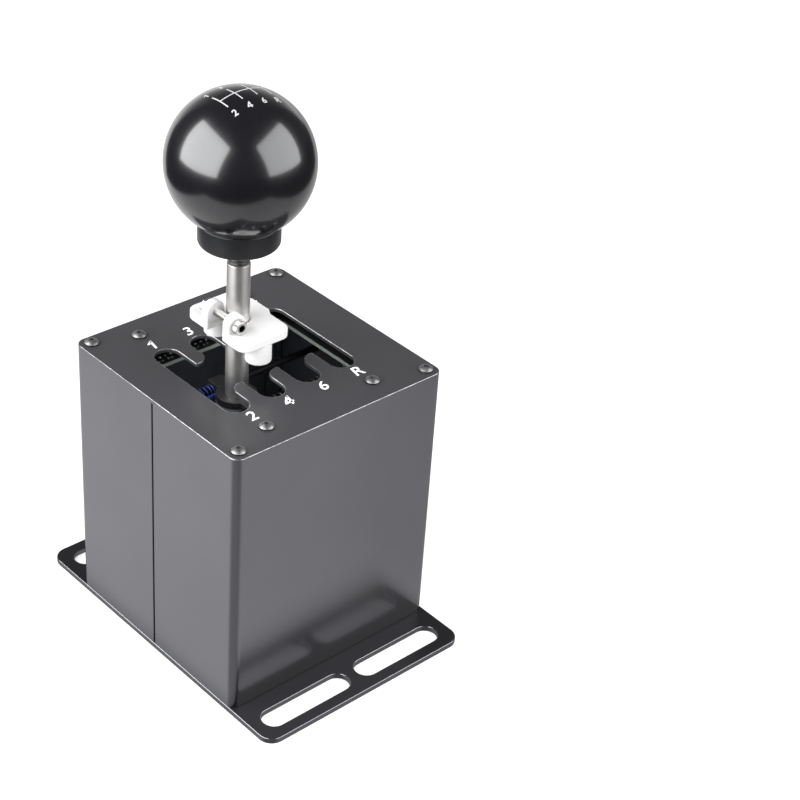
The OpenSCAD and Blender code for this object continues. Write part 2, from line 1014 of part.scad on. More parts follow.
module knob_insert() {
    color("gold")
        translate([lever_x, 0, insert_bottom])
            difference() {
                cylinder(r = insert_r, h = insert_l);
                translate([0, 0, -through])
                    cylinder(r = stud_r + fit, h = stud_grip + 2 * through);
            }
}

module knob_collar() {
    color("black")
        translate([lever_x, 0, collar_bottom])
            difference() {
                rotate_extrude() {
                    square([collar_r - collar_round, collar_lip + ball_r]);
                    translate([0, collar_round])
                        square([collar_r, collar_lip + ball_r - collar_round]);
                    translate([collar_r - collar_round, collar_round])
                        circle(collar_round);
                }
                translate([0, 0, collar_lip + ball_r])
                    sphere(ball_r + fit);
                translate([0, 0, -through])
                    cylinder(r = stud_r + fit, h = ball_r);
            }
}

// Saddle

module saddle_outline() {
    difference() {
        union() {
            translate([(saddle_back - saddle_open) / 2, 0])
                rounded_rect(saddle_back + saddle_open, saddle_l, saddle_corner_r);
            polygon([
                [0, -bridge_front - bridge_slope],
                [saddle_back, -bridge_front - bridge_slope],
                [saddle_back + bridge_reach, -bridge_front],
                [saddle_back + bridge_reach, ear_out],
                [saddle_back, ear_out + bridge_slope],
                [0, ear_out + bridge_slope]
            ]);
        }
        circle(saddle_slot);
        translate([-saddle_open - through, -saddle_slot])
            square([saddle_open + through, 2 * saddle_slot]);
    }
}

module saddle() {
    color("white")
        difference() {
            union() {
                translate([lever_x, 0, saddle_z - saddle_t])
                    linear_extrude(saddle_t)
                        saddle_outline();
                for (s = [-1, 1])
                    translate([lever_x, s * peg_y, saddle_z - saddle_t - peg_l])
                        cylinder(r = peg_r, h = peg_l + saddle_t);
                for (s = [-1, 1])
                    along_y(s * (saddle_slot + ear_t / 2) - ear_t / 2, ear_t)
                        translate([clamp_x, saddle_z - saddle_t]) {
                            translate([0, saddle_t + ear_up])
                                circle(ear_r);
                            translate([-ear_r, 0])
                                square([2 * ear_r, saddle_t + ear_up]);
                        }
            }
            translate([lever_x, 0, saddle_z - saddle_t - peg_l - through])
                cylinder(r = saddle_slot, h = saddle_t + peg_l + ear_up + ear_r + 2 * through);
            translate([clamp_x, 0, clamp_z])
                rod_y_axis(-ear_out - through, 2 * (ear_out + through), screw_r + fit);
        }
}

module saddle_screw() {
    color("silver")
        translate([clamp_x, 0, clamp_z])
            difference() {
                union() {
                    rod_y_axis(-ear_out - cap_h, cap_h, cap_r);
                    rod_y_axis(-ear_out, 2 * ear_out + nut_h + screw_end, screw_r);
                }
                translate([0, -ear_out - cap_h - eps, 0])
                    rotate([-90, 0, 0])
                        hex_socket();
            }
}

module saddle_nut() {
    color("silver")
        translate([clamp_x, ear_out, clamp_z])
            rotate([-90, 0, 0])
                hex_nut(nut_h);
}

base_plate();
front_shell();
rear_shell();
corner_posts();
post_screws();
tab_screws();
tab_nuts();
gate_plate();
gate_screws();
board_screws();
board_spacers();
board_nuts();
sensor_board();
position_sensors();
controller_chip();
usb_socket();
left_bracket();
right_bracket();
bracket_screws();
pivot_shaft();
shaft_clips();
left_arm();
right_arm();
arm_bushes();
front_rod();
rear_rod();
rod_clips();
left_spring();
right_spring();
lever_rod();
foot_block();
foot_bushes();
guide_hub();
grub_screws();
hub_magnets();
knob();
knob_insert();
knob_collar();
saddle();
saddle_screw();
saddle_nut();
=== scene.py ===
"""Finished looks of the gear shifter: eased sheet metal, turned and threaded pieces, wound springs,
printed marks, materials, lights and camera.

It is laid out as an add-on and run as a script. Lengths are in metres, in the frame of the CAD model:
X to the driver's right, Y away from the driver, Z up.
"""

import math

import bmesh
import bpy
from mathutils import Matrix, Vector


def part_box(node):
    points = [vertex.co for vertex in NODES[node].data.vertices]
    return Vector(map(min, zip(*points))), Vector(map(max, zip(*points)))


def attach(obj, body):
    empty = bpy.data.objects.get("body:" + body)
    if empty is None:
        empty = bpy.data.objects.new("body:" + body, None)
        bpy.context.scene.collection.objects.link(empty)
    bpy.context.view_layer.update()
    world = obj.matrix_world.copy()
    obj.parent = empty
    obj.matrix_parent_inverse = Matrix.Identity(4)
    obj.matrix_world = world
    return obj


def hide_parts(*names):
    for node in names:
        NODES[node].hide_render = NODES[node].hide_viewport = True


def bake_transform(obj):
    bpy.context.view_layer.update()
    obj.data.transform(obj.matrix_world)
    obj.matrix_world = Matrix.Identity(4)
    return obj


bl_info = {
    "name": "Gear shifter looks",
    "version": (1, 0, 0),
    "blender": (4, 5, 0),
    "location": "3D View > Sidebar > Shifter",
    "description": "Builds the finished pieces, materials, lights and camera of the gear shifter",
    "category": "Object",
}

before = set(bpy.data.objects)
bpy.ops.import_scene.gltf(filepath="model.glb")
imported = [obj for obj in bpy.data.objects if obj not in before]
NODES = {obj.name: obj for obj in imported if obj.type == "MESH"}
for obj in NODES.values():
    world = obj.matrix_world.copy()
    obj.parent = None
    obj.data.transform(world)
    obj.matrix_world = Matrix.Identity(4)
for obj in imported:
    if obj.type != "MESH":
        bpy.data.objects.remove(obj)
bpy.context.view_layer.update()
MM = 0.001
TURN = 2 * math.pi
SHARP = math.radians(40)
UPRIGHT = Matrix.Rotation(math.radians(90), 4, "X")


def middle(node):
    """The centre of a CAD node's box."""
    low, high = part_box(node)
    return (low + high) / 2


# Places taken from the CAD model
GATE_BOTTOM, GATE_TOP = (corner.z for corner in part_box("gate_plate"))
BOARD_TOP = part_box("sensor_board")[1].z
LEVER_X = middle("lever_rod").x
LEVER_R = (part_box("lever_rod")[1].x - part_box("lever_rod")[0].x) / 2
BALL_R = (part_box("knob")[1].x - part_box("knob")[0].x) / 2
BALL = Vector((LEVER_X, 0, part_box("knob")[1].z - BALL_R))
LANE_PITCH = 17 * MM
LANES = [LEVER_X + (i - 1) * LANE_PITCH for i in range(4)]

# Numerals that are printed in straight strokes, between points of a height from -0.5 to 0.5
STROKES = {
    "1": (((0.08, -0.5), (0.08, 0.5)), ((0.12, 0.42), (-0.24, 0.16))),
    "4": (((0.12, -0.5), (0.12, 0.5)), ((0.12, 0.46), (-0.34, -0.2)), ((-0.40, -0.22), (0.33, -0.22))),
}
STROKE_WIDTH = 0.17

# Level directions to the right of the camera and away from it
ACROSS = (0.716, -0.700, 0)
ALONG = (0.700, 0.716, 0)


# Settings that a user may change


def distance(name, description, default, low, high):
    """A length setting in metres."""
    return bpy.props.FloatProperty(
        name=name, description=description, default=default, min=low, max=high, precision=5, unit="LENGTH")


def number(name, description, default, low, high):
    """A setting that counts."""
    return bpy.props.IntProperty(name=name, description=description, default=default, min=low, max=high)


def colour(name, description, default):
    """A colour setting."""
    return bpy.props.FloatVectorProperty(
        name=name, description=description, default=default, subtype="COLOR", min=0, max=1)


class ShifterSizes(bpy.types.PropertyGroup):
    """Sizes of the finished pieces."""

    plate_ease: distance("Plate edges", "Rounding of the gate and base plates", 0.00028, 0.0001, 0.0008)
    sheet_ease: distance("Sheet edges", "Rounding of the folded shells", 0.0003, 0.0001, 0.0006)
    block_ease: distance("Block edges", "Rounding of the hub, foot and brackets", 0.0003, 0.0001, 0.0008)
    saddle_ease: distance("Saddle edges", "Rounding of the moulded saddle", 0.0007, 0.0002, 0.0012)
    label_height: distance("Gate labels", "Height of the numbers on the gate plate", 0.0056, 0.003, 0.008)
    mark_height: distance("Knob numbers", "Height of the numbers on the knob", 0.0029, 0.002, 0.005)
    mark_line: distance("Knob lines", "Width of the lines of the knob's pattern", 0.0005, 0.0003, 0.0015)
    mark_pitch: distance("Knob lanes", "Distance between lanes of the knob's pattern", 0.0065, 0.004, 0.008)
    stud_pitch: distance("Stud thread", "Pitch of the thread under the knob", 0.00125, 0.0005, 0.002)
    wire: distance("Spring wire", "Diameter of the springs' wire", 0.0007, 0.0004, 0.001)
    left_turns: number("Left turns", "Turns of the left spring between its closed ends", 15, 6, 20)
    right_turns: number("Right turns", "Turns of the right spring between its closed ends", 18, 8, 26)


class ShifterColours(bpy.types.PropertyGroup):
    """Colours of the finishes, as linear values."""

    case: colour("Case", "Dark satin finish of the folded case", (0.250, 0.251, 0.272))
    plate: colour("Plates", "Black satin paint of the gate plate", (0.0405, 0.0405, 0.0448))
    # Painted shade: the base plate's paint is set darker than the gate plate's to stand for the low light on
    # the flange.
    base: colour("Base", "Deep black paint of the base plate", (0.013, 0.013, 0.015))
    # Painted highlight: this bright rim colour on the gate plate's rounded edges stands for their glint as
    # well as for bare metal.
    rim: colour("Rims", "Bare rim where the paint is thin on an edge", (0.50, 0.50, 0.515))
    knob: colour("Knob", "Gloss plastic of the ball", (0.0042, 0.0042, 0.0060))
    collar: colour("Collar", "Satin plastic of the collar under the ball", (0.0085, 0.0088, 0.0108))
    ink: colour("Print", "Ink of the gate's gear numbers", (0.86, 0.86, 0.86))
    mark: colour("Knob print", "Ink of the knob's shift pattern", (0.48, 0.48, 0.49))
    nylon: colour("White nylon", "Moulded saddle and spacers", (0.62, 0.62, 0.618))
    acetal: colour("Black plastic", "Hub and foot block", (0.020, 0.020, 0.022))
    steel: colour("Lever", "Ground steel of the lever", (0.66, 0.65, 0.635))
    zinc: colour("Zinc", "Plated steel parts", (0.60, 0.615, 0.64))
    nickel: colour("Nickel", "Clamp screw and nut of the saddle", (0.60, 0.59, 0.57))
    oxide: colour("Screws", "Dark plated screws and clips", (0.31, 0.305, 0.31))
    # Painted shade: the rods' colour is black oxide darkened further to stand for the shade inside the case.
    rod: colour("Rods", "Black oxide on the cross rods", (0.006, 0.006, 0.0065))
    bronze: colour("Bronze", "Sintered bushes and knob insert", (0.52, 0.335, 0.155))
    spring: colour("Left spring", "Blue coat on the left spring's wire", (0.020, 0.042, 0.18))
    # Painted shade: the right spring's near-black coat stands for the shade it lies in inside the case.
    wire: colour("Right spring", "Black coat on the right spring's wire", (0.014, 0.014, 0.016))
    mask: colour("Board", "Solder mask of the sensor board", (0.010, 0.013, 0.012))
    laminate: colour("Board edge", "Bare laminate on the board's edges", (0.24, 0.27, 0.245))
    epoxy: colour("Chips", "Moulded bodies of the sensors and the chip", (0.020, 0.020, 0.022))


# Shader sums


class Wire:
    """A node's output that takes part in sums."""

    def __init__(self, look, socket):
        self.look = look
        self.socket = socket

    def sum(self, operation, first, second):
        """A sum of two wires or numbers."""
        return self.look.node("ShaderNodeMath", {"operation": operation}, {0: first, 1: second})

    def __add__(self, other):
        return self.sum("ADD", self, other)

    def __radd__(self, other):
        return self.sum("ADD", other, self)

    def __sub__(self, other):
        return self.sum("SUBTRACT", self, other)

    def __rsub__(self, other):
        return self.sum("SUBTRACT", other, self)

    def __mul__(self, other):
        return self.sum("MULTIPLY", self, other)

    def __rmul__(self, other):
        return self.sum("MULTIPLY", other, self)

    def __pow__(self, other):
        return self.sum("POWER", self, other)

    def __abs__(self):
        return self.look.node("ShaderNodeMath", {"operation": "ABSOLUTE"}, {0: self})

    def most(self, other):
        """The larger of two values."""
        return self.sum("MAXIMUM", self, other)


class Look:
    """The node tree of a material or of the world."""

    def __init__(self, owner):
        owner.use_nodes = True
        self.tree = owner.node_tree
        self.tree.nodes.clear()

    def node(self, kind, settings=None, inputs=None, output=0):
        """Adds a node, sets it up, and gives one of its outputs."""
        made = self.tree.nodes.new(kind)
        for key, value in (settings or {}).items():
            setattr(made, key, value)
        for key, value in (inputs or {}).items():
            if isinstance(value, Wire):
                self.tree.links.new(value.socket, made.inputs[key])
            else:
                made.inputs[key].default_value = value
        return Wire(self, made.outputs[output]) if made.outputs else None

    def place(self, scale=(1, 1, 1)):
        """Object coordinates, stretched."""
        point = self.node("ShaderNodeTexCoord", output="Object")
        return self.node("ShaderNodeMapping", {}, {"Vector": point, "Scale": scale})

    def noise(self, size, detail=2.0, rough=0.5, stretch=(1, 1, 1)):
        """Cloudy variation from 0 to 1 with features of a size in metres."""
        inputs = {"Vector": self.place(stretch), "Scale": 1 / size, "Detail": detail, "Roughness": rough}
        return self.node("ShaderNodeTexNoise", {}, inputs)

    def cells(self, size):
        """Cells of a size in metres: the distance from the cell's point."""
        return self.node("ShaderNodeTexVoronoi", {}, {"Vector": self.place(), "Scale": 1 / size})

    def dot(self, vector, way):
        """The part of a vector along a direction."""
        return self.node("ShaderNodeVectorMath", {"operation": "DOT_PRODUCT"}, {0: vector, 1: way}, "Value")

    def ray(self, kind):
        """1 on light paths of a kind, else 0."""
        return self.node("ShaderNodeLightPath", output=f"Is {kind} Ray")

    def facing(self, axis):
        """The part of the surface's direction along an axis of the object."""
        normal = self.node("ShaderNodeTexCoord", output="Normal")
        return self.node("ShaderNodeSeparateXYZ", {}, {0: normal}, axis)

    def band(self, value, low, high):
        """0 below low, 1 above high and a soft step between."""
        settings = {"interpolation_type": "SMOOTHSTEP"}
        return self.node("ShaderNodeMapRange", settings, {"Value": value, "From Min": low, "From Max": high})

    def tint(self, factor, first, second):
        """A mix of two colours."""
        inputs = {0: factor, 6: first, 7: second}
        return self.node("ShaderNodeMix", {"data_type": "RGBA"}, inputs, 2)

    def shades(self, factor, tone, dark, light):
        """A mix of a darker and a lighter shade of a colour setting."""
        return self.tint(factor, shade(tone, dark), shade(tone, light))

    def relief(self, height, depth, strength=1.0):
        """The surface's normal over small bumps of a depth in metres."""
        return self.node("ShaderNodeBump", {}, {"Strength": strength, "Distance": depth, "Height": height})

    def surface(self, **inputs):
        """Ends the material in one principled surface."""
        names = {key.replace("_", " ").title().replace("Ior", "IOR"): value for key, value in inputs.items()}
        self.out(self.node("ShaderNodeBsdfPrincipled", {}, names))

    def out(self, shader, kind="ShaderNodeOutputMaterial"):
        """Ends the tree in its output."""
        self.node(kind, {}, {"Surface": shader})


def shade(value, factor=1.0):
    """A colour setting as a shader colour, made lighter or darker."""
    return (*(min(1.0, c * factor) for c in value), 1.0)


# Finishes


def grained(look, tone, shades, noise, roughness, metallic=0.0, bump=None):
    """A surface whose shade, gloss and relief follow one noise."""
    grain = look.noise(*noise)
    relief = {"normal": look.relief(grain, *bump)} if bump else {}
    look.surface(base_color=look.shades(grain, tone, *shades), metallic=metallic,
                 roughness=roughness[0] + roughness[1] * grain, **relief)


def case_paint(look, colours):
    """Dark satin finish: faint clouds, fine orange peel and specks, and a painted shade line on the folds.
    """
    clouds = look.noise(30 * MM, 3)
    peel = look.noise(0.9 * MM, 2)
    specks = look.noise(0.22 * MM, 2)
    # Painted shade: the colour is darkened where the surface faces halfway between X and Y, on the shells'
    # bends.
    fold_shade = look.band(2 * abs(look.facing("X")) * abs(look.facing("Y")), 0.35, 0.92)
    flat = look.shades(clouds * 0.6 + specks * 0.4, colours.case, 0.90, 1.10)
    look.surface(
        base_color=look.tint(fold_shade * 0.75, flat, shade(colours.case, 0.35)),
        metallic=0.97,
        roughness=0.175 + 0.035 * clouds + 0.025 * specks,
        normal=look.relief(peel * 0.7 + specks * 0.3, 0.006 * MM, 0.55))


def flat_paint(look, tone, shine):
    """Satin paint on flat plate: faint clouds and a fine grain."""
    clouds = look.noise(22 * MM, 3)
    grain = look.noise(0.35 * MM, 3)
    look.surface(
        base_color=look.shades(clouds * 0.5 + grain * 0.5, tone, 0.86, 1.14),
        roughness=0.26 + 0.04 * clouds + 0.05 * grain,
        specular_ior_level=shine,
        normal=look.relief(grain, 0.006 * MM, 0.5))


def plate_paint(look, colours):
    """The gate plate's paint."""
    flat_paint(look, colours.plate, 0.5)


def shaded_base_paint(look, colours):
    """The base plate's paint, darker and duller than the gate plate's as painted shade on the low flange."""
    flat_paint(look, colours.base, 0.16)


def rim_wear_and_highlight(look, colours):
    """The same paint worn thin along an edge, in a bright bare-metal colour that is also a painted highlight
    on the edge.
    """
    # Painted highlight: the rim's brightness varies in patches along the edges.
    wear = look.noise(2.5 * MM, 4, 0.6)
    look.surface(
        base_color=look.shades(look.band(wear, 0.35, 0.65), colours.rim, 0.55, 1.0),
        metallic=0.9,
        roughness=0.22 + 0.12 * wear)


def knob_black(look, colours):
    """Polished plastic with a clear gloss and faint handling marks."""
    haze = look.noise(9 * MM, 4, 0.6)
    hairs = look.noise(0.35 * MM, 3, 0.6, (1, 0.08, 0.3))
    look.surface(
        base_color=look.shades(haze, colours.knob, 0.85, 1.2),
        roughness=0.20 + 0.05 * haze + 0.03 * hairs,
        ior=1.6,
        specular_tint=(0.97, 0.985, 1.0, 1),
        coat_weight=1.0,
        coat_roughness=0.10,
        normal=look.relief(haze, 0.010 * MM, 0.25))


def collar_black(look, colours):
    """Moulded satin plastic with a fine matt grain."""
    grain = look.noise(0.25 * MM, 2)
    wear = look.noise(5 * MM, 3, 0.6)
    look.surface(
        base_color=look.shades(wear, colours.collar, 0.8, 1.3),
        roughness=0.26 + 0.08 * wear + 0.05 * grain,
        normal=look.relief(grain, 0.01 * MM, 0.4))


def print_white(look, colours):
    """Screen-printed ink with a little uneven cover."""
    grained(look, colours.ink, (0.93, 1.05), (0.25 * MM, 3), (0.42, 0.16), bump=(0.01 * MM, 0.4))


def mark_white(look, colours):
    """Thin ink under the knob's lacquer."""
    grained(look, colours.mark, (0.85, 1.1), (0.4 * MM, 3), (0.30, 0.10))


def nylon_white(look, colours):
    """Moulded nylon: milky, with soft flow marks and a fine grain."""
    flow = look.noise(7 * MM, 3, 0.55, (1, 0.45, 1))
    grain = look.noise(0.3 * MM, 2)
    look.surface(
        base_color=look.shades(flow, colours.nylon, 0.965, 1.03),
        roughness=0.34 + 0.10 * grain + 0.06 * flow,
        normal=look.relief(grain * 0.6 + flow * 0.4, 0.02 * MM, 0.5))


def nylon_black(look, colours):
    """Machined black plastic with cutter marks."""
    marks = (0.5 * MM, 3, 0.6, (0.25, 0.25, 1.6))
    grained(look, colours.acetal, (0.8, 1.3), marks, (0.38, 0.16), bump=(0.02 * MM, 0.6))


def lever_steel(look, colours):
    """Ground steel: fine rings round the rod and slight stains."""
    rings = look.noise(1.4 * MM, 4, 0.65, (0.25, 0.25, 9))
    stains = look.noise(6 * MM, 3, 0.6)
    look.surface(
        base_color=look.shades(stains * 0.65 + rings * 0.35, colours.steel, 0.82, 1.12),
        metallic=1.0,
        roughness=0.33 + 0.09 * rings + 0.05 * stains,
        normal=look.relief(rings, 0.004 * MM, 0.5))


def stud_steel(look, colours):
    """Oily dark steel of the thread under the knob."""
    grained(look, colours.steel, (0.30, 0.55), (1.5 * MM, 3), (0.28, 0.18), metallic=1.0)


def zinc_steel(look, colours):
    """Zinc plate with a faint spangle."""
    spangle = look.cells(2.2 * MM)
    haze = look.noise(0.8 * MM, 4, 0.6)
    look.surface(
        base_color=look.shades(spangle * 0.5 + haze * 0.5, colours.zinc, 0.84, 1.12),
        metallic=1.0,
        roughness=0.24 + 0.12 * haze + 0.06 * spangle,
        normal=look.relief(haze, 0.006 * MM, 0.4))


def nickel(look, colours):
    """Nickel plate with a slight haze."""
    haze = (0.7 * MM, 4, 0.6)
    grained(look, colours.nickel, (0.85, 1.1), haze, (0.30, 0.14), metallic=1.0, bump=(0.006 * MM, 0.4))


def rod_black(look, colours):
    """Black oxide on ground steel, rubbed along the rod, darkened to near black as painted shade inside the
    case; the screws' necks wear it as painted shade under their heads.
    """
    grained(look, colours.rod, (0.7, 1.5), (0.8 * MM, 4, 0.6, (0.15, 1, 1)), (0.48, 0.14), metallic=0.8)


def screw_black(look, colours):
    """Dark plated screws with rubbed patches."""
    rub = look.noise(1.1 * MM, 4, 0.6)
    look.surface(
        base_color=look.shades(look.band(rub, 0.4, 0.68), colours.oxide, 0.8, 1.35),
        metallic=0.95,
        roughness=0.36 + 0.14 * rub,
        normal=look.relief(rub, 0.008 * MM, 0.4))


def bronze(look, colours):
    """Sintered bronze with open pores."""
    pores = look.cells(0.35 * MM)
    tone = look.noise(2 * MM, 3)
    look.surface(
        base_color=look.shades(tone, colours.bronze, 0.8, 1.15),
        metallic=1.0,
        roughness=0.34 + 0.16 * tone,
        normal=look.relief(look.band(pores, 0.1, 0.35), 0.02 * MM, 0.6))


def coated_wire(look, tone):
    """A coat on drawn wire."""
    coat = look.noise(0.6 * MM, 3)
    look.surface(
        base_color=look.shades(coat, tone, 0.75, 1.3),
        metallic=0.35,
        roughness=0.20 + 0.10 * coat,
        coat_weight=0.6,
        coat_roughness=0.08)


def spring_blue(look, colours):
    """The left spring's blue coat."""
    coated_wire(look, colours.spring)


def spring_black(look, colours):
    """The right spring's black coat, made black as painted shade where the spring lies in the dark of the
    case.
    """
    coated_wire(look, colours.wire)


def board_black(look, colours):
    """Black solder mask with raised tracks on top and bare laminate on the edges."""
    edge = 1 - look.band(abs(look.facing("Z")), 0.4, 0.6)
    fibre = look.noise(0.25 * MM, 3, 0.6, (1, 1, 5))
    tracks = look.node("ShaderNodeTexBrick", {"offset": 0.37, "squash": 0.6, "squash_frequency": 3}, {
        "Vector": look.place(), "Scale": 260.0, "Mortar Size": 0.035, "Mortar Smooth": 0.4,
        "Brick Width": 1.9, "Row Height": 0.32}, "Fac")
    mask = look.shades(tracks, colours.mask, 1.0, 2.1)
    bare = look.shades(fibre, colours.laminate, 0.8, 1.1)
    look.surface(
        base_color=look.tint(edge, mask, bare),
        roughness=0.30 + 0.30 * edge + 0.06 * fibre,
        normal=look.relief(tracks * (1 - edge), 0.03 * MM, 0.6))


def chip_black(look, colours):
    """Moulded epoxy with a fine matt grain."""
    grained(look, colours.epoxy, (0.8, 1.5), (0.18 * MM, 2), (0.50, 0.18), bump=(0.012 * MM, 0.5))


def solder(look, colours):
    """Bright solder with a dull skin."""
    grained(look, colours.zinc, (0.95, 1.25), (0.4 * MM, 3), (0.20, 0.20), metallic=1.0)


def contact_gold(look, colours):
    """Thin gold on the socket's contacts."""
    wipe = look.noise(0.5 * MM, 3, 0.5, (1, 0.2, 1))
    look.surface(
        base_color=look.tint(wipe, (0.72, 0.48, 0.16, 1), (0.88, 0.62, 0.24, 1)),
        metallic=1.0,
        roughness=0.22 + 0.14 * wipe)


FINISHES = (
    case_paint, plate_paint, shaded_base_paint, rim_wear_and_highlight, knob_black, collar_black, print_white, mark_white,
    nylon_white, nylon_black, lever_steel, stud_steel, zinc_steel, nickel, rod_black, screw_black, bronze,
    spring_blue, spring_black, board_black, chip_black, solder, contact_gold)


def finish(name):
    """The material of a finish, made once."""
    material = bpy.data.materials.get("finish_" + name)
    if material is None:
        material = bpy.data.materials.new("finish_" + name)
        make = next(f for f in FINISHES if f.__name__ == name)
        make(Look(material), bpy.context.scene.shifter_colours)
    return material


def dress(name, *nodes):
    """Gives CAD nodes a finish in place of their plain colour."""
    for node in nodes:
        slots = NODES[node].data.materials
        for i in range(len(slots)):
            slots[i] = finish(name)


# Shared modelling


def verts_of(geom):
    """The vertices in an operator's result."""
    return [v for v in geom if isinstance(v, bmesh.types.BMVert)]


def edges_of(geom):
    """The edges in an operator's result."""
    return [e for e in geom if isinstance(e, bmesh.types.BMEdge)]


def outward(bm):
    """Turns all faces outward."""
    bmesh.ops.recalc_face_normals(bm, faces=bm.faces)


def move(bm, way):
    """Moves the whole bmesh."""
    bmesh.ops.translate(bm, verts=bm.verts, vec=way)


def rounded(bm, edges, width, segments):
    """Rounds edges and gives the new faces the second finish."""
    made = bmesh.ops.bevel(bm, geom=edges, offset=width, offset_type="OFFSET", segments=segments,
                           profile=0.5, affect="EDGES", clamp_overlap=False, material=-1)
    for face in bm.faces:
        face.material_index = 0
    for face in made["faces"]:
        face.material_index = 1


def piece(name, bm, body, *finishes, slot=None, stands_for=(), smooth=30.0):
    """Makes an object of a bmesh. It rides on a body, wears its finishes and may stand for CAD nodes."""
    for face in bm.faces:
        face.smooth = True
    for edge in bm.edges:
        one_finish = len({face.material_index for face in edge.link_faces}) < 2
        edge.smooth = one_finish and edge.calc_face_angle(0.0) < math.radians(smooth)
    mesh = bpy.data.meshes.new(name)
    bm.to_mesh(mesh)
    bm.free()
    for each in finishes:
        mesh.materials.append(finish(each))
    made = bpy.data.objects.new(name, mesh)
    bpy.context.scene.collection.objects.link(made)
    if body:
        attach(made, body)
    if stands_for:
        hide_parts(*stands_for)
    return made


def eased(node, width, segments=3, shortest=0.0):
    """A merged copy of a CAD node with its outside edges rounded, as the second finish. Edges under a
    shortest length stay sharp, and so do those where the gate plate lies on the shells."""
    bm = bmesh.new()
    bm.from_mesh(NODES[node].data)
    bmesh.ops.remove_doubles(bm, verts=bm.verts, dist=0.001 * MM)
    bmesh.ops.dissolve_limit(bm, angle_limit=math.radians(0.3), verts=bm.verts, edges=bm.edges)
    bmesh.ops.dissolve_degenerate(bm, dist=0.06 * MM, edges=bm.edges)
    edges = [e for e in bm.edges if e.is_manifold and e.is_convex and e.calc_face_angle() > SHARP
             and e.calc_length() > shortest and any(abs(v.co.z - GATE_BOTTOM) > 0.01 * MM for v in e.verts)]
    rounded(bm, edges, width, segments)
    return bm


def ease(body, paint, width, *nodes):
    """Puts pieces with rounded edges in place of CAD nodes."""
    for node in nodes:
        piece(node + "_eased", eased(node, width), body, paint, paint,
              slot=paint, stands_for=[node], smooth=25)


def chain(bm, points):
    """Open line of (radius, height) points in the XZ plane."""
    verts = [bm.verts.new((r, 0, h)) for r, h in points]
    return verts + [bm.edges.new(pair) for pair in zip(verts, verts[1:])]


def turned(bm, points, steps=64):
    """Turns an outline of (radius, height) points full circle round Z."""
    geom = chain(bm, points)
    bmesh.ops.spin(bm, geom=geom, cent=(0, 0, 0), axis=(0, 0, 1), dvec=(0, 0, 0), angle=TURN, steps=steps,
                   use_merge=True, use_duplicate=False)
    bmesh.ops.remove_doubles(bm, verts=bm.verts, dist=0.0005 * MM)
    outward(bm)


def arc(centre, radius, start, end, count):
    """Points of an arc in an outline, angles in degrees from the outward direction."""
    angles = [math.radians(start + (end - start) * i / count) for i in range(count + 1)]
    return [(centre[0] + radius * math.cos(a), centre[1] + radius * math.sin(a)) for a in angles]


def thread(bm, root, crest, pitch, bottom, top, steps=28):
    """A screw thread round Z from bottom to top, closed at both ends."""
    turns = max(1, round((top - bottom) / pitch) - 1)
    flat = pitch / 8
    outline = [(root, bottom), (crest, bottom + pitch / 2 - flat), (crest, bottom + pitch / 2 + flat),
               (root, bottom + pitch)]
    bmesh.ops.spin(bm, geom=chain(bm, outline), cent=(0, 0, 0), axis=(0, 0, 1), dvec=(0, 0, pitch / steps),
                   angle=TURN * turns, steps=turns * steps, use_merge=False, use_duplicate=False)
    bmesh.ops.remove_doubles(bm, verts=bm.verts, dist=0.0005 * MM)
    bmesh.ops.holes_fill(bm, edges=[e for e in bm.edges if e.is_boundary], sides=0)
    outward(bm)


def hex_recess(bm, rim, top, hex_r, depth):
    """Closes a turned head at its open top, a ring of the radius rim, with a hex socket and drill point."""
    near = 0.02 * MM
    ring = [e for e in bm.edges if e.is_boundary and all(
        abs(v.co.z - top) < near and v.co.xy.length < rim + near for v in e.verts)]
    made = bmesh.ops.create_circle(bm, cap_ends=False, segments=6, radius=hex_r,
                                   matrix=Matrix.Translation((0, 0, top)))
    sides = list({e for v in made["verts"] for e in v.link_edges})
    cut = bmesh.ops.subdivide_edges(bm, edges=sides, cuts=len(ring) // 6 - 1)
    loop = set(edges_of(cut["geom"])) | {e for e in sides if e.is_valid}
    loop = [e for e in loop if not e.link_faces]
    bmesh.ops.bridge_loops(bm, edges=ring + loop)
    wall = bmesh.ops.extrude_edge_only(bm, edges=loop)["geom"]
    bmesh.ops.translate(bm, verts=verts_of(wall), vec=(0, 0, -depth))
    tip = verts_of(bmesh.ops.extrude_edge_only(bm, edges=edges_of(wall))["geom"])
    bmesh.ops.pointmerge(bm, verts=tip, merge_co=(0, 0, top - depth * 4 / 3))


def repeat(bm, places):
    """Copies the whole bmesh to each of the placing matrices."""
    first = bm.verts[:] + bm.edges[:] + bm.faces[:]
    for matrix in places[1:]:
        made = bmesh.ops.duplicate(bm, geom=first)["geom"]
        bmesh.ops.transform(bm, matrix=matrix, verts=verts_of(made))
    bmesh.ops.transform(bm, matrix=places[0], verts=verts_of(first))


def lifted(bm, faces, height):
    """Draws flat faces up to a height, as closed solids."""
    made = bmesh.ops.extrude_face_region(bm, geom=faces)["geom"]
    bmesh.ops.translate(bm, verts=verts_of(made), vec=(0, 0, height))
    outward(bm)


def stroked(text, lean):
    """A numeral of straight strokes, one unit high, as a flat bmesh."""
    bm = bmesh.new()
    for start, end in STROKES[text]:
        start, end = Vector(start), Vector(end)
        side = (end - start).orthogonal().normalized() * STROKE_WIDTH / 2
        corners = (start - side, end - side, end + side, start + side)
        bm.faces.new([bm.verts.new((at.x + lean * at.y, at.y, 0)) for at in corners])
    return bm


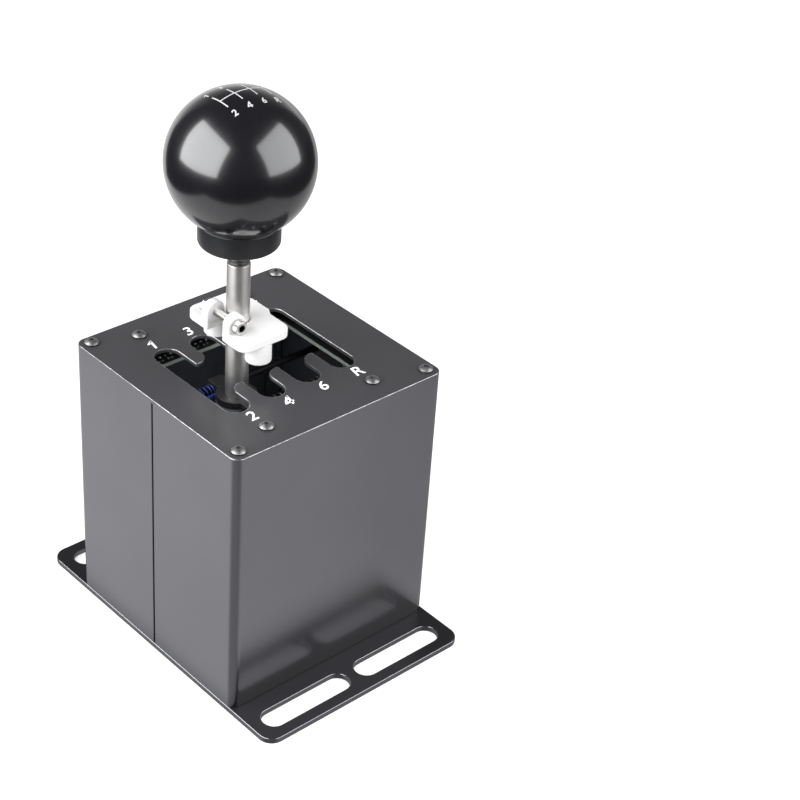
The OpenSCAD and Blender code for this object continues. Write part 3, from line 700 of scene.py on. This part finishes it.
def printed(text, lean, bold):
    """A letter of the built-in typeface as a flat bmesh."""
    curve = bpy.data.curves.new("lettering", "FONT")
    curve.body = text
    curve.align_x = "CENTER"
    curve.align_y = "CENTER"
    curve.size = 1.0
    curve.shear = lean
    curve.offset = bold
    curve.resolution_u = 6
    holder = bpy.data.objects.new("lettering", curve)
    bpy.context.scene.collection.objects.link(holder)
    bpy.context.view_layer.update()
    flat = bpy.data.meshes.new_from_object(holder.evaluated_get(bpy.context.evaluated_depsgraph_get()))
    bpy.data.objects.remove(holder)
    bpy.data.curves.remove(curve)
    bm = bmesh.new()
    bm.from_mesh(flat)
    bpy.data.meshes.remove(flat)
    bmesh.ops.remove_doubles(bm, verts=bm.verts, dist=1e-5)
    return bm


def lettering(text, height, at, lean=0.0, bold=0.0, thick=0.02 * MM):
    """A printed mark as a bmesh, flat on XY with its middle at a place."""
    bm = stroked(text, lean) if text in STROKES else printed(text, lean, bold)
    low = Vector((min(v.co.x for v in bm.verts), min(v.co.y for v in bm.verts), 0))
    high = Vector((max(v.co.x for v in bm.verts), max(v.co.y for v in bm.verts), 0))
    move(bm, -(low + high) / 2)
    bmesh.ops.scale(bm, verts=bm.verts, vec=(height / (high.y - low.y),) * 3)
    if thick:
        lifted(bm, bm.faces[:], thick)
    move(bm, at)
    return bm


def slab(outline, height, width):
    """An outline on XY drawn up to a height, with its outside edges rounded."""
    bm = bmesh.new()
    face = bm.faces.new([bm.verts.new((x, y, 0)) for x, y in outline])
    lifted(bm, [face], height)
    rounded(bm, [e for e in bm.edges if e.is_convex and e.calc_face_angle() > SHARP], width, 5)
    return bm


def joined(parts):
    """One bmesh of several."""
    whole = bmesh.new()
    for part in parts:
        mesh = bpy.data.meshes.new("part")
        part.to_mesh(mesh)
        part.free()
        whole.from_mesh(mesh)
        bpy.data.meshes.remove(mesh)
    return whole


class Step:
    """What the steps of the build have in common."""

    bl_options = {"REGISTER", "UNDO"}


# Case


class SHIFTER_OT_case(Step, bpy.types.Operator):
    """Eases the edges of the base plate, the folded shells and the gate plate"""

    bl_idname = "shifter.case"
    bl_label = "Case and gate plate"

    def execute(self, context):
        sizes = context.scene.shifter_sizes
        # The gate plate's rounded edges wear the rim finish, worn paint and a painted highlight in one.
        for node, paint, rim in (("base_plate", "shaded_base_paint", "case_paint"),
                                 ("gate_plate", "plate_paint", "rim_wear_and_highlight")):
            bm = eased(node, sizes.plate_ease, shortest=0.3 * MM)
            # Painted shade: the base plate's top wears its darker paint, while its outer sides, slot walls
            # and rims wear the lighter case finish.
            for face in bm.faces:
                if abs(face.normal.z) < 0.1:
                    outside = face.calc_center_median().xy.length > 45 * MM
                    face.material_index = 2 if outside else 0
            piece(node + "_eased", bm, "frame", paint, rim, "case_paint",
                  slot="case_paint", stands_for=[node], smooth=25)
        ease("frame", "case_paint", sizes.sheet_ease, "front_shell", "rear_shell")
        dress("zinc_steel", "corner_posts", "tab_nuts")
        return {"FINISHED"}


class SHIFTER_OT_labels(Step, bpy.types.Operator):
    """Prints the gear numbers on the gate plate"""

    bl_idname = "shifter.labels"
    bl_label = "Gate labels"

    def execute(self, context):
        sizes = context.scene.shifter_sizes
        for row, y in (("1357", 30.6 * MM), ("246R", -30.2 * MM)):
            for text, x in zip(row, LANES):
                mark = lettering(text, sizes.label_height, (x, y, GATE_TOP), lean=0.18, bold=0.010)
                piece("gate_label_" + text, mark, "frame", "print_white", smooth=30)
        return {"FINISHED"}


class SHIFTER_OT_screws(Step, bpy.types.Operator):
    """Turns the button-head screws of the gate plate and dresses the hidden screws"""

    bl_idname = "shifter.screws"
    bl_label = "Screws"

    def execute(self, context):
        head, neck, shank, tip = 2.85 * MM, 2.5 * MM, 1.5 * MM, 1.2 * MM
        hex_r, hex_depth = 1.05 * MM, 1.0 * MM
        corner, board_y = 45.2 * MM, 39 * MM
        gate_spots = [(x, y) for x in (-corner, corner) for y in (-corner, corner)]
        board_spots = [(x, y) for x in (LANES[0], LANES[3]) for y in (-board_y, board_y)]
        for node, spots in (("gate_screws", gate_spots), ("board_screws", board_spots)):
            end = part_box(node)[0].z - GATE_TOP
            bm = bmesh.new()
            dome = arc((0, -1.92 * MM), 3.82 * MM, 72.5, 45, 8)
            turned(bm, dome + [
                (head, 0.64 * MM), (head, 0.58 * MM), (neck, 0.46 * MM), (neck, 0), (shank, 0),
                (shank, end + 0.3 * MM), (tip, end), (0, end)], 48)
            hex_recess(bm, *dome[0], hex_r, hex_depth)
            outward(bm)
            # Painted shade: faces under 0.6 mm, the screws' necks below the raised heads, wear the black rod
            # finish as the dark ring under each head.
            for face in bm.faces:
                face.material_index = int(face.calc_center_median().z < 0.6 * MM)
            repeat(bm, [Matrix.Translation((x, y, GATE_TOP)) @ Matrix.Rotation(0.7 * i, 4, "Z")
                        for i, (x, y) in enumerate(spots)])
            piece(node + "_turned", bm, "frame", "screw_black", "rod_black",
                  slot="screw_black", stands_for=[node], smooth=32)
        dress("screw_black", "post_screws", "tab_screws", "bracket_screws")
        return {"FINISHED"}


# Sensor board


class SHIFTER_OT_board(Step, bpy.types.Operator):
    """Adds solder, small parts and contacts to the sensor board"""

    bl_idname = "shifter.board"
    bl_label = "Sensor board"

    def execute(self, context):
        dress("board_black", "sensor_board")
        dress("chip_black", "position_sensors", "controller_chip")
        dress("nylon_white", "board_spacers")
        dress("zinc_steel", "board_nuts")
        pin_y, pin_pitch, drop = 31.4 * MM, 2.54 * MM, 0.62 * MM
        part_y, part_pitch = 28.9 * MM, 4.4 * MM
        joints = bmesh.new()
        parts = bmesh.new()
        for x in LANES:
            for side in (-1, 1):
                for step in range(4):
                    spot = Vector((x + 1.4 * MM + pin_pitch * step, side * pin_y, BOARD_TOP))
                    made = bmesh.ops.create_icosphere(joints, subdivisions=2, radius=drop)
                    bmesh.ops.scale(joints, verts=made["verts"], vec=(1, 1, 0.6))
                    bmesh.ops.translate(joints, verts=made["verts"], vec=spot)
                for step in range(2):
                    spot = Vector((x + 2.6 * MM + part_pitch * step, side * part_y, BOARD_TOP))
                    self.block(parts, spot, (1.5 * MM, 0.9 * MM, 0.5 * MM))
                    for end in (-0.85 * MM, 0.85 * MM):
                        self.block(joints, spot + Vector((end, 0, 0)), (0.5 * MM, 0.96 * MM, 0.44 * MM))
        for bm in (joints, parts):
            boxes = [e for e in bm.edges if e.calc_face_angle(0.0) > math.radians(60)]
            bmesh.ops.bevel(bm, geom=boxes, offset=0.07 * MM, offset_type="OFFSET", segments=2, profile=0.5,
                            affect="EDGES", clamp_overlap=True, material=-1)
        piece("board_solder", joints, "frame", "solder", slot="zinc_steel", smooth=40)
        piece("board_resistors", parts, "frame", "chip_black", slot="chip_black", smooth=40)
        return {"FINISHED"}

    def block(self, bm, foot, size):
        """A small block that stands on a spot of the board."""
        place = Matrix.Translation(foot + Vector((0, 0, size[2] / 2))) @ Matrix.Diagonal((*size, 1))
        bmesh.ops.create_cube(bm, size=1.0, matrix=place)


class SHIFTER_OT_socket(Step, bpy.types.Operator):
    """Builds the inlet socket with its dark tongue and gold contacts"""

    bl_idname = "shifter.socket"
    bl_label = "Inlet socket"

    def execute(self, context):
        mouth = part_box("usb_socket")[1].y
        mid = middle("usb_socket")
        bm = eased("usb_socket", 0.06 * MM, 2)
        for face in bm.faces:
            at = face.calc_center_median()
            tongue = abs(at.x - mid.x) < 3.2 * MM and abs(at.z - mid.z) < 0.45 * MM
            face.material_index = int(tongue and at.y < mouth - 0.2 * MM)
        piece("inlet_shell", bm, "frame", "zinc_steel", "chip_black", slot="zinc_steel",
              stands_for=["usb_socket"], smooth=30)
        contacts = bmesh.new()
        strip = Matrix.Diagonal((0.25 * MM, 3.0 * MM, 0.05 * MM, 1))
        for i in range(12):
            for side in (-1, 1):
                spot = (mid.x + (i - 5.5) * 0.45 * MM, mouth - 2.6 * MM, mid.z + side * 0.36 * MM)
                bmesh.ops.create_cube(contacts, size=1.0, matrix=Matrix.Translation(spot) @ strip)
        piece("inlet_contacts", contacts, "frame", "contact_gold", smooth=30)
        return {"FINISHED"}


# Pivot and yoke


class SHIFTER_OT_yoke(Step, bpy.types.Operator):
    """Eases the brackets and arms and dresses the shaft, rods, bushes and clips"""

    bl_idname = "shifter.yoke"
    bl_label = "Pivot and yoke"

    def execute(self, context):
        width = context.scene.shifter_sizes.block_ease
        ease("frame", "zinc_steel", width, "left_bracket", "right_bracket")
        ease("yoke", "zinc_steel", width, "left_arm", "right_arm")
        dress("zinc_steel", "pivot_shaft")
        dress("rod_black", "front_rod", "rear_rod")
        dress("screw_black", "shaft_clips", "rod_clips")
        dress("bronze", "arm_bushes", "foot_bushes", "knob_insert")
        return {"FINISHED"}


class SHIFTER_OT_springs(Step, bpy.types.Operator):
    """Winds the two centring springs on the cross rods"""

    bl_idname = "shifter.springs"
    bl_label = "Centring springs"

    def execute(self, context):
        sizes = context.scene.shifter_sizes
        steps = 28
        for node, coat, turns, arm_low in (("left_spring", "spring_blue", sizes.left_turns, True),
                                           ("right_spring", "spring_black", sizes.right_turns, False)):
            low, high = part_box(node)
            mid = middle(node)
            coil = (high.y - low.y) / 2 - sizes.wire / 2
            bm = bmesh.new()
            start = Matrix.Translation((low.x + sizes.wire / 2, mid.y + coil, mid.z))
            ring = bmesh.ops.create_circle(
                bm, cap_ends=True, segments=12, radius=sizes.wire / 2, matrix=start)["verts"]
            geom = list({e for v in ring for e in v.link_edges}) + ring
            run = high.x - low.x - sizes.wire
            closed = 1.04 * sizes.wire
            for count, pitch in ((1, closed), (turns, (run - 2 * closed) / turns), (1, closed)):
                geom = bmesh.ops.spin(
                    bm, geom=geom, cent=mid, axis=(1, 0, 0), dvec=(pitch / steps, 0, 0), angle=TURN * count,
                    steps=steps * count, use_merge=False, use_duplicate=False)["geom_last"]
            bmesh.ops.holes_fill(bm, edges=[e for e in bm.edges if e.is_boundary], sides=0)
            outward(bm)
            coil_piece = piece(node + "_wound", bm, None, coat, slot=coat, stands_for=[node], smooth=60)
            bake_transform(coil_piece)
        return {"FINISHED"}


# Lever


class SHIFTER_OT_lever(Step, bpy.types.Operator):
    """Turns the ground lever with its threaded stud and eases the hub and foot block"""

    bl_idname = "shifter.lever"
    bl_label = "Lever"

    def execute(self, context):
        sizes = context.scene.shifter_sizes
        low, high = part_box("lever_rod")
        shoulder = GATE_TOP + 45 * MM
        chamfer = 0.5 * MM
        rod = bmesh.new()
        turned(rod, [(0, low.z), (LEVER_R - chamfer, low.z), (LEVER_R, low.z + chamfer),
                     (LEVER_R, shoulder - chamfer), (LEVER_R - 0.12 * MM, shoulder - 0.2 * MM),
                     (LEVER_R - chamfer, shoulder), (0, shoulder)], 96)
        move(rod, (LEVER_X, 0, 0))
        piece("lever_ground", rod, "lever", "lever_steel",
              slot="lever_steel", stands_for=["lever_rod"], smooth=25)
        stud = bmesh.new()
        root, crest = 3.35 * MM, 4.0 * MM
        thread(stud, root, crest, sizes.stud_pitch, shoulder - 1.5 * MM, high.z - 0.6 * MM)
        move(stud, (LEVER_X, 0, 0))
        piece("lever_stud", stud, "lever", "stud_steel", slot="lever_steel", smooth=25)
        ease("lever", "nylon_black", sizes.block_ease, "guide_hub", "foot_block")
        dress("screw_black", "grub_screws")
        dress("zinc_steel", "hub_magnets")
        return {"FINISHED"}


# Knob


class SHIFTER_OT_knob(Step, bpy.types.Operator):
    """Turns the ball and its collar and prints the shift pattern on the ball"""

    bl_idname = "shifter.knob"
    bl_label = "Knob"

    def execute(self, context):
        self.ball()
        self.collar()
        self.pattern(context.scene.shifter_sizes)
        return {"FINISHED"}

    def ball(self):
        """The ball with its bore, heights from the ball's middle."""
        bore = 7.05 * MM
        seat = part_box("knob")[0].z + 20.4 * MM - BALL.z
        rim = math.degrees(math.acos(bore / BALL_R))
        outline = arc((0, 0), BALL_R, 90, 0.6 - rim, 72)
        outline[0] = (0, BALL_R)
        bm = bmesh.new()
        turned(bm, outline + [(bore, outline[-1][1] + 0.25 * MM), (bore, seat), (0, seat)], 128)
        move(bm, BALL)
        piece("knob_ball", bm, "lever", "knob_black", slot="knob_black", stands_for=["knob"], smooth=40)

    def collar(self):
        """The collar, which fits the ball's underside."""
        low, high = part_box("knob_collar")
        outer, inner, bore = (high.x - low.x) / 2, 7.2 * MM, 4.4 * MM
        lip = low.z - BALL.z
        under, crown, gap = 1.6 * MM, 0.45 * MM, 0.03 * MM

        def seat(radius):
            """Height of the ball's underside at a radius."""
            return -math.sqrt(BALL_R ** 2 - radius ** 2)

        ledge = seat(inner) - gap
        outline = [(bore, lip + 0.3 * MM), (bore + 0.4 * MM, lip)]
        outline += arc((outer - under, lip + under), under, -90, 0, 8)
        outline += arc((outer - crown, seat(outer - crown) - 0.35 * MM), crown, 0, 80, 5)
        outline += [(outer - 3 * MM, seat(outer - 3 * MM) - gap), (inner, ledge), (bore, ledge), outline[0]]
        bm = bmesh.new()
        turned(bm, outline, 96)
        move(bm, BALL)
        piece("knob_collar_turned", bm, "lever", "collar_black", slot="knob_black",
              stands_for=["knob_collar"], smooth=25)

    def pattern(self, sizes):
        """Lines and numbers of the shift pattern, wrapped on the ball's top."""
        half, row_y, mesh_step = 4.35 * MM, 8.35 * MM, 0.35 * MM
        lanes = [(i - 1.5) * sizes.mark_pitch for i in range(4)]
        lines = [((x, -half), (x, half)) for x in lanes] + [((lanes[0], 0), (lanes[3], 0))]
        marks = []
        for (x0, y0), (x1, y1) in lines:
            wide, tall = abs(x1 - x0) + sizes.mark_line, abs(y1 - y0) + sizes.mark_line
            place = Matrix.Translation(((x0 + x1) / 2, (y0 + y1) / 2, 0))
            strip = bmesh.new()
            bmesh.ops.create_grid(strip, x_segments=1 + int(wide / mesh_step),
                                  y_segments=1 + int(tall / mesh_step), size=0.5,
                                  matrix=place @ Matrix.Diagonal((wide, tall, 1, 1)))
            marks.append(strip)
        for row, y in (("1357", row_y), ("246R", -row_y)):
            for text, x in zip(row, lanes):
                letter = lettering(text, sizes.mark_height, (x, y, 0), lean=0.12, bold=0.02, thick=0)
                bmesh.ops.triangulate(letter, faces=letter.faces)
                bmesh.ops.subdivide_edges(letter, edges=letter.edges, cuts=2, use_grid_fill=True)
                marks.append(letter)
        whole = joined(marks)
        lift = BALL_R + 0.02 * MM
        for vert in whole.verts:
            flat = vert.co.xy.length
            angle = flat / BALL_R
            out = vert.co.xy / flat if flat > 1e-9 else Vector((0, 0))
            vert.co = BALL + lift * Vector((*(out * math.sin(angle)), math.cos(angle)))
        outward(whole)
        for face in whole.faces:
            if face.normal.dot(face.calc_center_median() - BALL) < 0:
                face.normal_flip()
        piece("knob_pattern", whole, "lever", "mark_white", smooth=60)


# Saddle


class SHIFTER_OT_saddle(Step, bpy.types.Operator):
    """Moulds the saddle and makes its clamp screw and nut"""

    bl_idname = "shifter.saddle"
    bl_label = "Saddle"

    def execute(self, context):
        self.moulding(context.scene.shifter_sizes.saddle_ease)
        self.screw()
        piece("saddle_nut_eased", eased("saddle_nut", 0.18 * MM), "lever", "nickel", "nickel",
              slot="zinc_steel", stands_for=["saddle_nut"], smooth=25)
        return {"FINISHED"}

    def moulding(self, ease):
        """The slotted plate with a peg below and an ear above on either side of the lever."""
        top, thick = GATE_TOP + 21 * MM, 4 * MM
        peg_r, peg_y, peg_end = 5 * MM, 12.5 * MM, 12 * MM
        ear_r, ear_thick = 4.2 * MM, 3.5 * MM
        left, right, end, corner, slot = -11, 11.8, 13.5, 4, 4.5
        outline = [(left, -slot)] + arc((left + corner, -end), corner, 180, 270, 10)
        outline += arc((right - corner, -end), corner, 270, 360, 10)
        outline += [(right, -4.8), (13.5, -1.8), (13.5, 8.0), (right, 11.0)]
        outline += arc((right - corner, end), corner, 0, 90, 10)
        outline += arc((left + corner, end), corner, 90, 180, 10)
        outline += [(left, slot)] + arc((0, 0), slot, 90, -90, 24)
        flat = slab([(x * MM, y * MM) for x, y in outline], thick, ease)
        move(flat, (LEVER_X, 0, top - thick))
        lumps = [flat]
        for side in (-1, 1):
            peg = bmesh.new()
            foot = arc((peg_r - ease, ease), ease, 0, -90, 6)
            turned(peg, [(0, 10 * MM), (peg_r, 10 * MM)] + foot + [(0, 0)], 64)
            move(peg, (LEVER_X, side * peg_y, top - peg_end))
            crown = arc((0, 5.4 * MM), ear_r, 0, 180, 24)
            ear = slab([(-ear_r, 0), (ear_r, 0)] + crown, ear_thick, ease)
            spot = (LEVER_X - 6.75 * MM, side * 6.25 * MM + ear_thick / 2, top - 2.5 * MM)
            bmesh.ops.transform(ear, matrix=Matrix.Translation(spot) @ UPRIGHT, verts=ear.verts)
            lumps += [peg, ear]
        piece("saddle_moulded", joined(lumps), "lever", "nylon_white", "nylon_white",
              slot="nylon_white", stands_for=["saddle"], smooth=35)

    def screw(self):
        """The clamp screw, with a knurled head, a hex socket and a thread."""
        low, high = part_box("saddle_screw")
        mid = middle("saddle_screw")
        head, head_r, rim, core, hex_r = 3.0 * MM, 2.75 * MM, 1.75 * MM, 1.3 * MM, 1.45 * MM
        end = head - (high.y - low.y)
        bm = bmesh.new()
        turned(bm, [(rim, head), (2.45 * MM, head), (2.62 * MM, head - 0.12 * MM), (head_r, head - 0.4 * MM),
                    (head_r, 0.25 * MM), (2.6 * MM, 0), (core, 0), (core, end + 0.4 * MM),
                    (core - 0.3 * MM, end), (0, end)], 72)
        teeth = [v for v in bm.verts if v.co.xy.length > head_r - 0.05 * MM and round(
            math.degrees(math.atan2(v.co.y, v.co.x)) / 5) % 2]
        bmesh.ops.scale(bm, verts=teeth, vec=(0.945, 0.945, 1))
        hex_recess(bm, rim, head, hex_r, 0.35 * MM)
        outward(bm)
        for face in bm.faces:
            # Painted shade: the hex socket's walls and floor wear the darker screw finish.
            spot = face.calc_center_median()
            face.material_index = int(spot.xy.length < hex_r - 0.01 * MM and spot.z > head - 0.6 * MM)
        spiral = bmesh.new()
        thread(spiral, 1.28 * MM, 1.5 * MM, 0.5 * MM, end + 0.2 * MM, -0.3 * MM, 20)
        whole = joined([bm, spiral])
        place = Matrix.Translation((mid.x, low.y + head, mid.z)) @ UPRIGHT
        bmesh.ops.transform(whole, matrix=place, verts=whole.verts)
        piece("saddle_screw_knurled", whole, "lever", "nickel", "screw_black",
              slot="zinc_steel", stands_for=["saddle_screw"], smooth=28)


# Stage


class SHIFTER_OT_stage(Step, bpy.types.Operator):
    """Lays the floor and sets the softboxes, the world and the camera"""

    bl_idname = "shifter.stage"
    bl_label = "Stage"

    def execute(self, context):
        scene = context.scene
        scene.view_settings.view_transform = "Standard"
        self.floor()
        self.world(scene)
        self.softbox("left_softbox", way=(-0.871, 0.242, 0.428), level=(-0.26, -0.965, 0.02),
                     width=1.45, height=1.06, watts=29.0)
        self.softbox("front_softbox", way=(0.489, -0.762, 0.426), level=(0.85, 0.525, -0.04),
                     width=1.20, height=0.98, watts=13.5)
        inside = self.lamp("case_fill", Matrix.Translation((0, 0, 104 * MM)), 70 * MM, 70 * MM, 0.12)
        inside.data.color = (0.84, 0.90, 1.0)
        inside.visible_camera = inside.visible_glossy = False
        lens = bpy.data.cameras.new("photo_camera")
        lens.lens = 87.387
        lens.sensor_width = 36
        lens.clip_start = 0.01
        lens.clip_end = 50
        camera = bpy.data.objects.new("photo_camera", lens)
        scene.collection.objects.link(camera)
        camera.matrix_world = Matrix((
            (0.740759, 0.330223, -0.585003, -0.398541),
            (-0.668974, 0.441999, -0.597587, -0.485620),
            (0.061234, 0.834020, 0.548325, 0.514247),
            (0, 0, 0, 1)))
        scene.camera = camera
        return {"FINISHED"}

    def floor(self):
        """A floor that is white to the camera. Shiny faces see a sheet and a backdrop on it, with painted
        shade towards the front right of the part and painted shadow under the base plate, and it is clear
        from below."""
        bm = bmesh.new()
        below = Matrix.Translation((0, 0, -0.05 * MM))
        bmesh.ops.create_grid(bm, x_segments=1, y_segments=1, size=6, matrix=below)
        mesh = bpy.data.meshes.new("studio_floor")
        bm.to_mesh(mesh)
        bm.free()
        material = bpy.data.materials.new("studio_floor")
        look = Look(material)
        point = look.node("ShaderNodeTexCoord", output="Object")
        across, along = look.dot(point, ACROSS), look.dot(point, ALONG)
        white = look.node("ShaderNodeEmission", {}, {
            "Strength": 0.72 * (look.ray("Camera") + look.ray("Transmission")) + 0.70 * look.ray("Diffuse")})
        pale = look.node("ShaderNodeBsdfDiffuse", {}, {"Color": (0.36, 0.36, 0.36, 1)})
        lit = look.node("ShaderNodeAddShader", {}, {0: pale, 1: white})
        sheet = (1 - look.band(abs(across), 0.27, 0.32)) * look.band(along, -0.31, -0.25)
        sweep = look.band(along, 0.20, 0.32) * self.fan(look, across, along, 0.10)
        # Painted shade: the mirrored floor is dimmed towards the front and front right of the part.
        front = look.band(across, -0.04, 0.14)
        right = front * look.band(along, -0.07, 0.01)
        # Painted shadow: the mirrored floor is darker in a band through the part and under the base plate's
        # outline.
        clear = look.band(abs(look.dot(point, (0, 1, 0))), 0.072, 0.088).most(
            look.band(abs(look.dot(point, (1, 0, 0))), 0.048, 0.060))
        foot = (0.90 + 0.10 * look.band(abs(across), 0.04, 0.14)) * (0.5 + 0.5 * clear)
        mirrored = look.node("ShaderNodeEmission", {}, {
            "Strength": 0.03 + (0.78 - 0.215 * front - 0.13 * right) * foot * sheet.most(sweep)})
        above = look.node("ShaderNodeMixShader", {}, {0: look.ray("Glossy"), 1: lit, 2: mirrored})
        behind = look.node("ShaderNodeNewGeometry", output="Backfacing")
        through = look.node("ShaderNodeBsdfTransparent")
        look.out(look.node("ShaderNodeMixShader", {}, {0: behind, 1: above, 2: through}))
        mesh.materials.append(material)
        floor = bpy.data.objects.new("studio_floor", mesh)
        bpy.context.scene.collection.objects.link(floor)

    def fan(self, look, across, along, start):
        """1 on the backdrop, which widens away from the part, and 0 beside it."""
        right = look.band(across - 0.45 * along, start - 0.04, start + 0.06)
        left = look.band(0 - across - 0.85 * along, start - 0.04, start + 0.06)
        return (1 - right) * (1 - left)

    def world(self, scene):
        """White to the camera and even to matt faces. Shiny faces see the backdrop rise behind the part."""
        scene.world = scene.world or bpy.data.worlds.new("studio")
        look = Look(scene.world)
        way = look.node("ShaderNodeTexCoord", output="Generated")
        back, side, rise = (look.dot(way, each) for each in (ALONG, ACROSS, (0, 0, 1)))
        shape = back.most(0.0) ** 2 * (1 - rise).most(0.0) ** 3 * self.fan(look, side, back, 0.04)
        seen, glossy = look.ray("Camera"), look.ray("Glossy")
        level = seen + (1 - seen) * (glossy * (0.06 + 0.90 * shape) + (1 - glossy) * 0.80)
        light = look.node("ShaderNodeBackground", {}, {"Color": (1, 1, 1, 1), "Strength": level})
        look.out(light, "ShaderNodeOutputWorld")

    def lamp(self, name, place, width, height, watts):
        """An area light."""
        light = bpy.data.lights.new(name, "AREA")
        light.shape = "RECTANGLE"
        light.size, light.size_y, light.energy = width, height, watts
        made = bpy.data.objects.new(name, light)
        made.matrix_world = place
        bpy.context.scene.collection.objects.link(made)
        return made

    def softbox(self, name, way, level, width, height, watts):
        """A lamp one metre from the ball that faces it, with its width along a level direction."""
        back = Vector(way).normalized()
        side = (Vector(level) - back * Vector(level).dot(back)).normalized()
        turn = Matrix((side, back.cross(side), back)).transposed().to_4x4()
        self.lamp(name, Matrix.Translation(BALL + back) @ turn, width, height, watts)


# Sidebar panel


class SHIFTER_PT_panel(bpy.types.Panel):
    """Lists the settings and the steps of the build"""

    bl_idname = "SHIFTER_PT_panel"
    bl_label = "Gear shifter"
    bl_space_type = "VIEW_3D"
    bl_region_type = "UI"
    bl_category = "Shifter"

    def draw(self, context):
        for settings in (context.scene.shifter_sizes, context.scene.shifter_colours):
            box = self.layout.box()
            for name in settings.bl_rna.properties.keys():
                if name not in ("rna_type", "name"):
                    box.prop(settings, name)
        for step in STEPS:
            self.layout.operator(step.bl_idname)


STEPS = (SHIFTER_OT_case, SHIFTER_OT_labels, SHIFTER_OT_screws, SHIFTER_OT_board, SHIFTER_OT_socket,
         SHIFTER_OT_yoke, SHIFTER_OT_springs, SHIFTER_OT_lever, SHIFTER_OT_knob, SHIFTER_OT_saddle,
         SHIFTER_OT_stage)
CLASSES = (ShifterSizes, ShifterColours, *STEPS, SHIFTER_PT_panel)


def register():
    for each in CLASSES:
        bpy.utils.register_class(each)
    bpy.types.Scene.shifter_sizes = bpy.props.PointerProperty(type=ShifterSizes)
    bpy.types.Scene.shifter_colours = bpy.props.PointerProperty(type=ShifterColours)


def unregister():
    del bpy.types.Scene.shifter_colours
    del bpy.types.Scene.shifter_sizes
    for each in reversed(CLASSES):
        bpy.utils.unregister_class(each)


def main():
    register()
    for step in STEPS:
        group, name = step.bl_idname.split(".")
        getattr(getattr(bpy.ops, group), name)()


if __name__ == "__main__":
    main()
